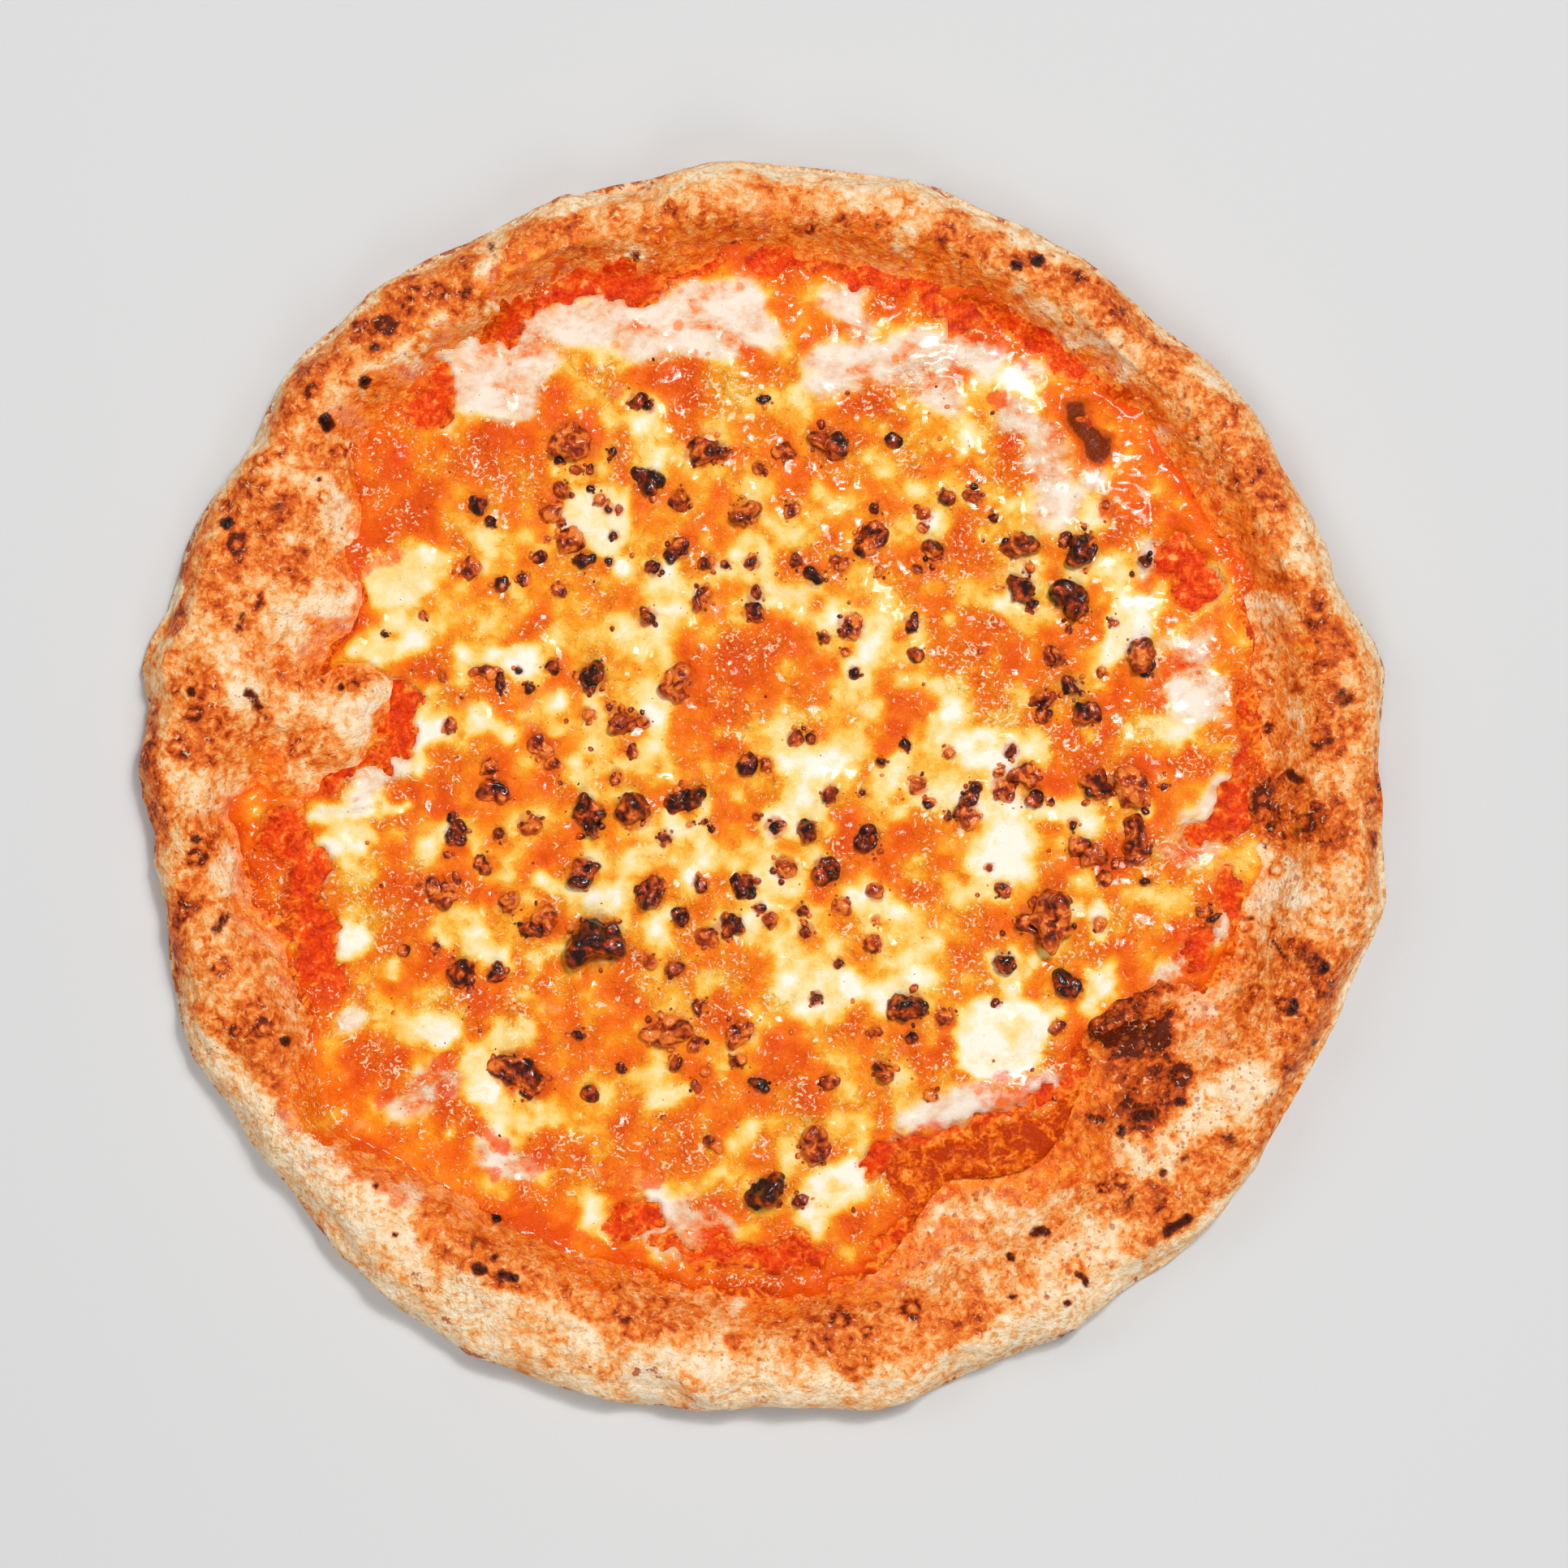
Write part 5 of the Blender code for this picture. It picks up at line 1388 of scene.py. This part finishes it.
def add_light(name, place, size, power, shines=True):
    """A square soft light at a place in metres; it faces the pizza and may leave no highlights."""
    data = bpy.data.lights.new(name, "AREA")
    data.size = size
    data.energy = power
    light = bpy.data.objects.new(name, data)
    light.location = place
    light.visible_glossy = shines
    light.rotation_euler = (-Vector(place)).to_track_quat("-Z", "Y").to_euler()
    bpy.context.scene.collection.objects.link(light)


# ---------------------------------------------------------------------------------------------
# Settings, operators and panel
# ---------------------------------------------------------------------------------------------

def colour_setting(name, description, red, green, blue):
    """A colour that a user may change."""
    return bpy.props.FloatVectorProperty(name=name, description=description, subtype="COLOR", size=3,
                                         min=0.0, max=1.0, default=linear(red, green, blue))


def number_setting(name, description, default, **limits):
    """A number that a user may change."""
    return bpy.props.FloatProperty(name=name, description=description, default=default, **limits)


class CrustLook(bpy.types.PropertyGroup):
    """Colours of the baked dough."""

    raw: colour_setting("Raw", "Palest, least baked dough", 254, 230, 196)
    pale: colour_setting("Pale", "Pale dough", 252, 208, 156)
    peach: colour_setting("Peach", "Lightly baked dough", 250, 180, 110)
    golden: colour_setting("Golden", "Golden dough", 246, 142, 56)
    brown: colour_setting("Brown", "Brown dough", 226, 100, 26)
    dark: colour_setting("Dark", "Dark brown dough", 172, 60, 12)
    burnt: colour_setting("Burnt", "Burnt dough", 96, 32, 8)
    freckle: colour_setting("Freckle", "Small baked freckles", 186, 74, 18)
    char: colour_setting("Char", "Charred beads", 30, 10, 6)
    oil: colour_setting("Oil", "Oily orange stain", 252, 118, 18)
    oil_dark: colour_setting("Dark oil", "Oily red-brown stain", 220, 66, 4)
    oil_light: colour_setting("Light oil", "Oily golden stain", 255, 168, 62)
    flour: colour_setting("Flour", "Floury outer dough", 255, 226, 180)
    flour_light: colour_setting("Light flour", "Flour grains", 255, 242, 214)
    flour_shade: colour_setting("Flour shade", "Tan between the flour", 238, 162, 90)


class SauceLook(bpy.types.PropertyGroup):
    """Colours of the tomato sauce."""

    dark: colour_setting("Dark", "Cooked-down sauce", 180, 36, 4)
    deep: colour_setting("Deep", "Deep red sauce", 216, 54, 6)
    red: colour_setting("Red", "Red sauce", 234, 66, 10)
    bright: colour_setting("Bright", "Bright sauce", 244, 100, 20)
    # A painted highlight colour, for pale wet glints in the sauce.
    glint: colour_setting("Glint", "Wet pale glints", 255, 168, 96)
    film_dark: colour_setting("Dark film", "Dark oily film at the rim", 186, 54, 2)
    film: colour_setting("Film", "Oily film at the rim", 234, 100, 8)
    film_light: colour_setting("Light film", "Light oily film at the rim", 250, 156, 52)


class CheeseLook(bpy.types.PropertyGroup):
    """Colours of the melted cheese."""

    oil_red: colour_setting("Oil red", "Oily red-orange", 234, 84, 2)
    oil_orange: colour_setting("Oil orange", "Oily deep orange", 244, 102, 2)
    orange: colour_setting("Orange", "Orange cheese", 250, 124, 10)
    amber: colour_setting("Amber", "Amber cheese", 252, 154, 26)
    yellow: colour_setting("Yellow", "Yellow-orange cheese", 252, 184, 58)
    buttery: colour_setting("Buttery", "Butter-yellow cheese", 252, 208, 112)
    cream: colour_setting("Cream", "Cream cheese pools", 250, 224, 158)
    white: colour_setting("White", "White cheese pools", 250, 243, 224)
    sauce_red: colour_setting("Sauce", "Sauce showing through", 240, 74, 16)
    veil_red: colour_setting("Veil red", "Thin cheese over sauce", 240, 120, 56)
    veil_pink: colour_setting("Veil pink", "Pinkish thin cheese", 240, 166, 118)
    veil_pale: colour_setting("Veil pale", "Pale thin cheese", 236, 200, 168)
    veil_white: colour_setting("Veil white", "Bluish white cheese", 244, 228, 210)
    # Colour of the painted highlights: the pale glint flecks in the cheese.
    grain_and_painted_glint: colour_setting("Curd", "Pale glinting curds", 255, 232, 190)
    singed: colour_setting("Singed", "Orange-brown cheese around the lumps", 214, 92, 14)
    scorch: colour_setting("Scorch", "Scorched brown cheese", 122, 44, 4)
    bit: colour_setting("Bit", "Tiny toasted bits", 142, 50, 8)


class ToastLook(bpy.types.PropertyGroup):
    """Colours and sizes of the toasted lumps."""

    amber: colour_setting("Amber", "Least toasted cheese", 244, 130, 44)
    rust: colour_setting("Rust", "Rust-brown cheese", 200, 76, 20)
    brown: colour_setting("Brown", "Brown toasted cheese", 140, 42, 10)
    dark: colour_setting("Dark", "Dark toasted cheese", 88, 26, 10)
    black: colour_setting("Black", "Blackened tips", 38, 14, 8)
    rise: number_setting("Rise", "How far a lump's middle stands up, in half widths", 0.22, min=0.0, max=1.0)
    blister_size: number_setting("Blister size", "Width of a lump's blisters", 2.0 * MM,
                                 min=0.2 * MM, max=10 * MM, unit="LENGTH")


class StageLook(bpy.types.PropertyGroup):
    """Floor, lights and camera."""

    floor: colour_setting("Floor", "Pale floor", 214, 214, 214)
    key_power: number_setting("Key light", "Power of the key light", 16.6, unit="POWER")
    sparkle_power: number_setting("Sparkle light", "Power of the small glint light", 9.8, unit="POWER")
    fill_power: number_setting("Fill light", "Power of each fill light", 2.55, unit="POWER")
    room_light: number_setting("Room light", "Strength of the room's light", 0.2)
    camera_height: number_setting("Camera height", "Camera above the floor", 1.3, unit="LENGTH")
    frame_width: number_setting("Frame width", "Width that the camera sees", 0.4304, unit="LENGTH")


class PIZZA_OT_crust(bpy.types.Operator):
    """Make the baked dough with its blistered rim."""

    bl_idname = "pizza.crust"
    bl_label = "Crust"

    def execute(self, context):
        make_crust(context.scene.pizza_crust)
        return {"FINISHED"}


class PIZZA_OT_sauce(bpy.types.Operator):
    """Make the tomato sauce."""

    bl_idname = "pizza.sauce"
    bl_label = "Sauce"

    def execute(self, context):
        make_sauce(context.scene.pizza_sauce)
        return {"FINISHED"}


class PIZZA_OT_cheese(bpy.types.Operator):
    """Make the sheet of melted cheese."""

    bl_idname = "pizza.cheese"
    bl_label = "Cheese"

    def execute(self, context):
        make_cheese(context.scene.pizza_cheese)
        return {"FINISHED"}


class PIZZA_OT_lumps(bpy.types.Operator):
    """Make the toasted lumps and crumbs on the cheese."""

    bl_idname = "pizza.lumps"
    bl_label = "Toasted lumps"

    def execute(self, context):
        make_lumps(context.scene.pizza_toast)
        return {"FINISHED"}


class PIZZA_OT_stage(bpy.types.Operator):
    """Set the floor, the lights and the camera."""

    bl_idname = "pizza.stage"
    bl_label = "Stage"

    def execute(self, context):
        make_stage(context.scene.pizza_stage)
        return {"FINISHED"}


class PIZZA_PT_panel(bpy.types.Panel):
    """Lists the pizza's pieces in the sidebar."""

    bl_idname = "PIZZA_PT_panel"
    bl_label = "Cheese pizza"
    bl_space_type = "VIEW_3D"
    bl_region_type = "UI"
    bl_category = "Pizza"

    def draw(self, context):
        for operator in OPERATORS:
            self.layout.operator(operator.bl_idname)
        for setting in SETTINGS:
            look = getattr(context.scene, setting)
            box = self.layout.box()
            for name in look.__annotations__:
                box.prop(look, name)


OPERATORS = (PIZZA_OT_crust, PIZZA_OT_sauce, PIZZA_OT_cheese, PIZZA_OT_lumps, PIZZA_OT_stage)
SETTINGS = {
    "pizza_crust": CrustLook,
    "pizza_sauce": SauceLook,
    "pizza_cheese": CheeseLook,
    "pizza_toast": ToastLook,
    "pizza_stage": StageLook,
}


def register():
    """Add the settings, the operators and the panel."""
    for look in SETTINGS.values():
        bpy.utils.register_class(look)
    for setting, look in SETTINGS.items():
        setattr(bpy.types.Scene, setting, bpy.props.PointerProperty(type=look))
    for operator in OPERATORS:
        bpy.utils.register_class(operator)
    bpy.utils.register_class(PIZZA_PT_panel)


def unregister():
    """Take the panel, the operators and the settings away."""
    bpy.utils.unregister_class(PIZZA_PT_panel)
    for operator in reversed(OPERATORS):
        bpy.utils.unregister_class(operator)
    for setting, look in SETTINGS.items():
        delattr(bpy.types.Scene, setting)
        bpy.utils.unregister_class(look)


def main():
    """Make every piece in order."""
    register()
    bpy.ops.pizza.crust()
    bpy.ops.pizza.sauce()
    bpy.ops.pizza.cheese()
    bpy.ops.pizza.lumps()
    bpy.ops.pizza.stage()


if __name__ == "__main__":
    main()
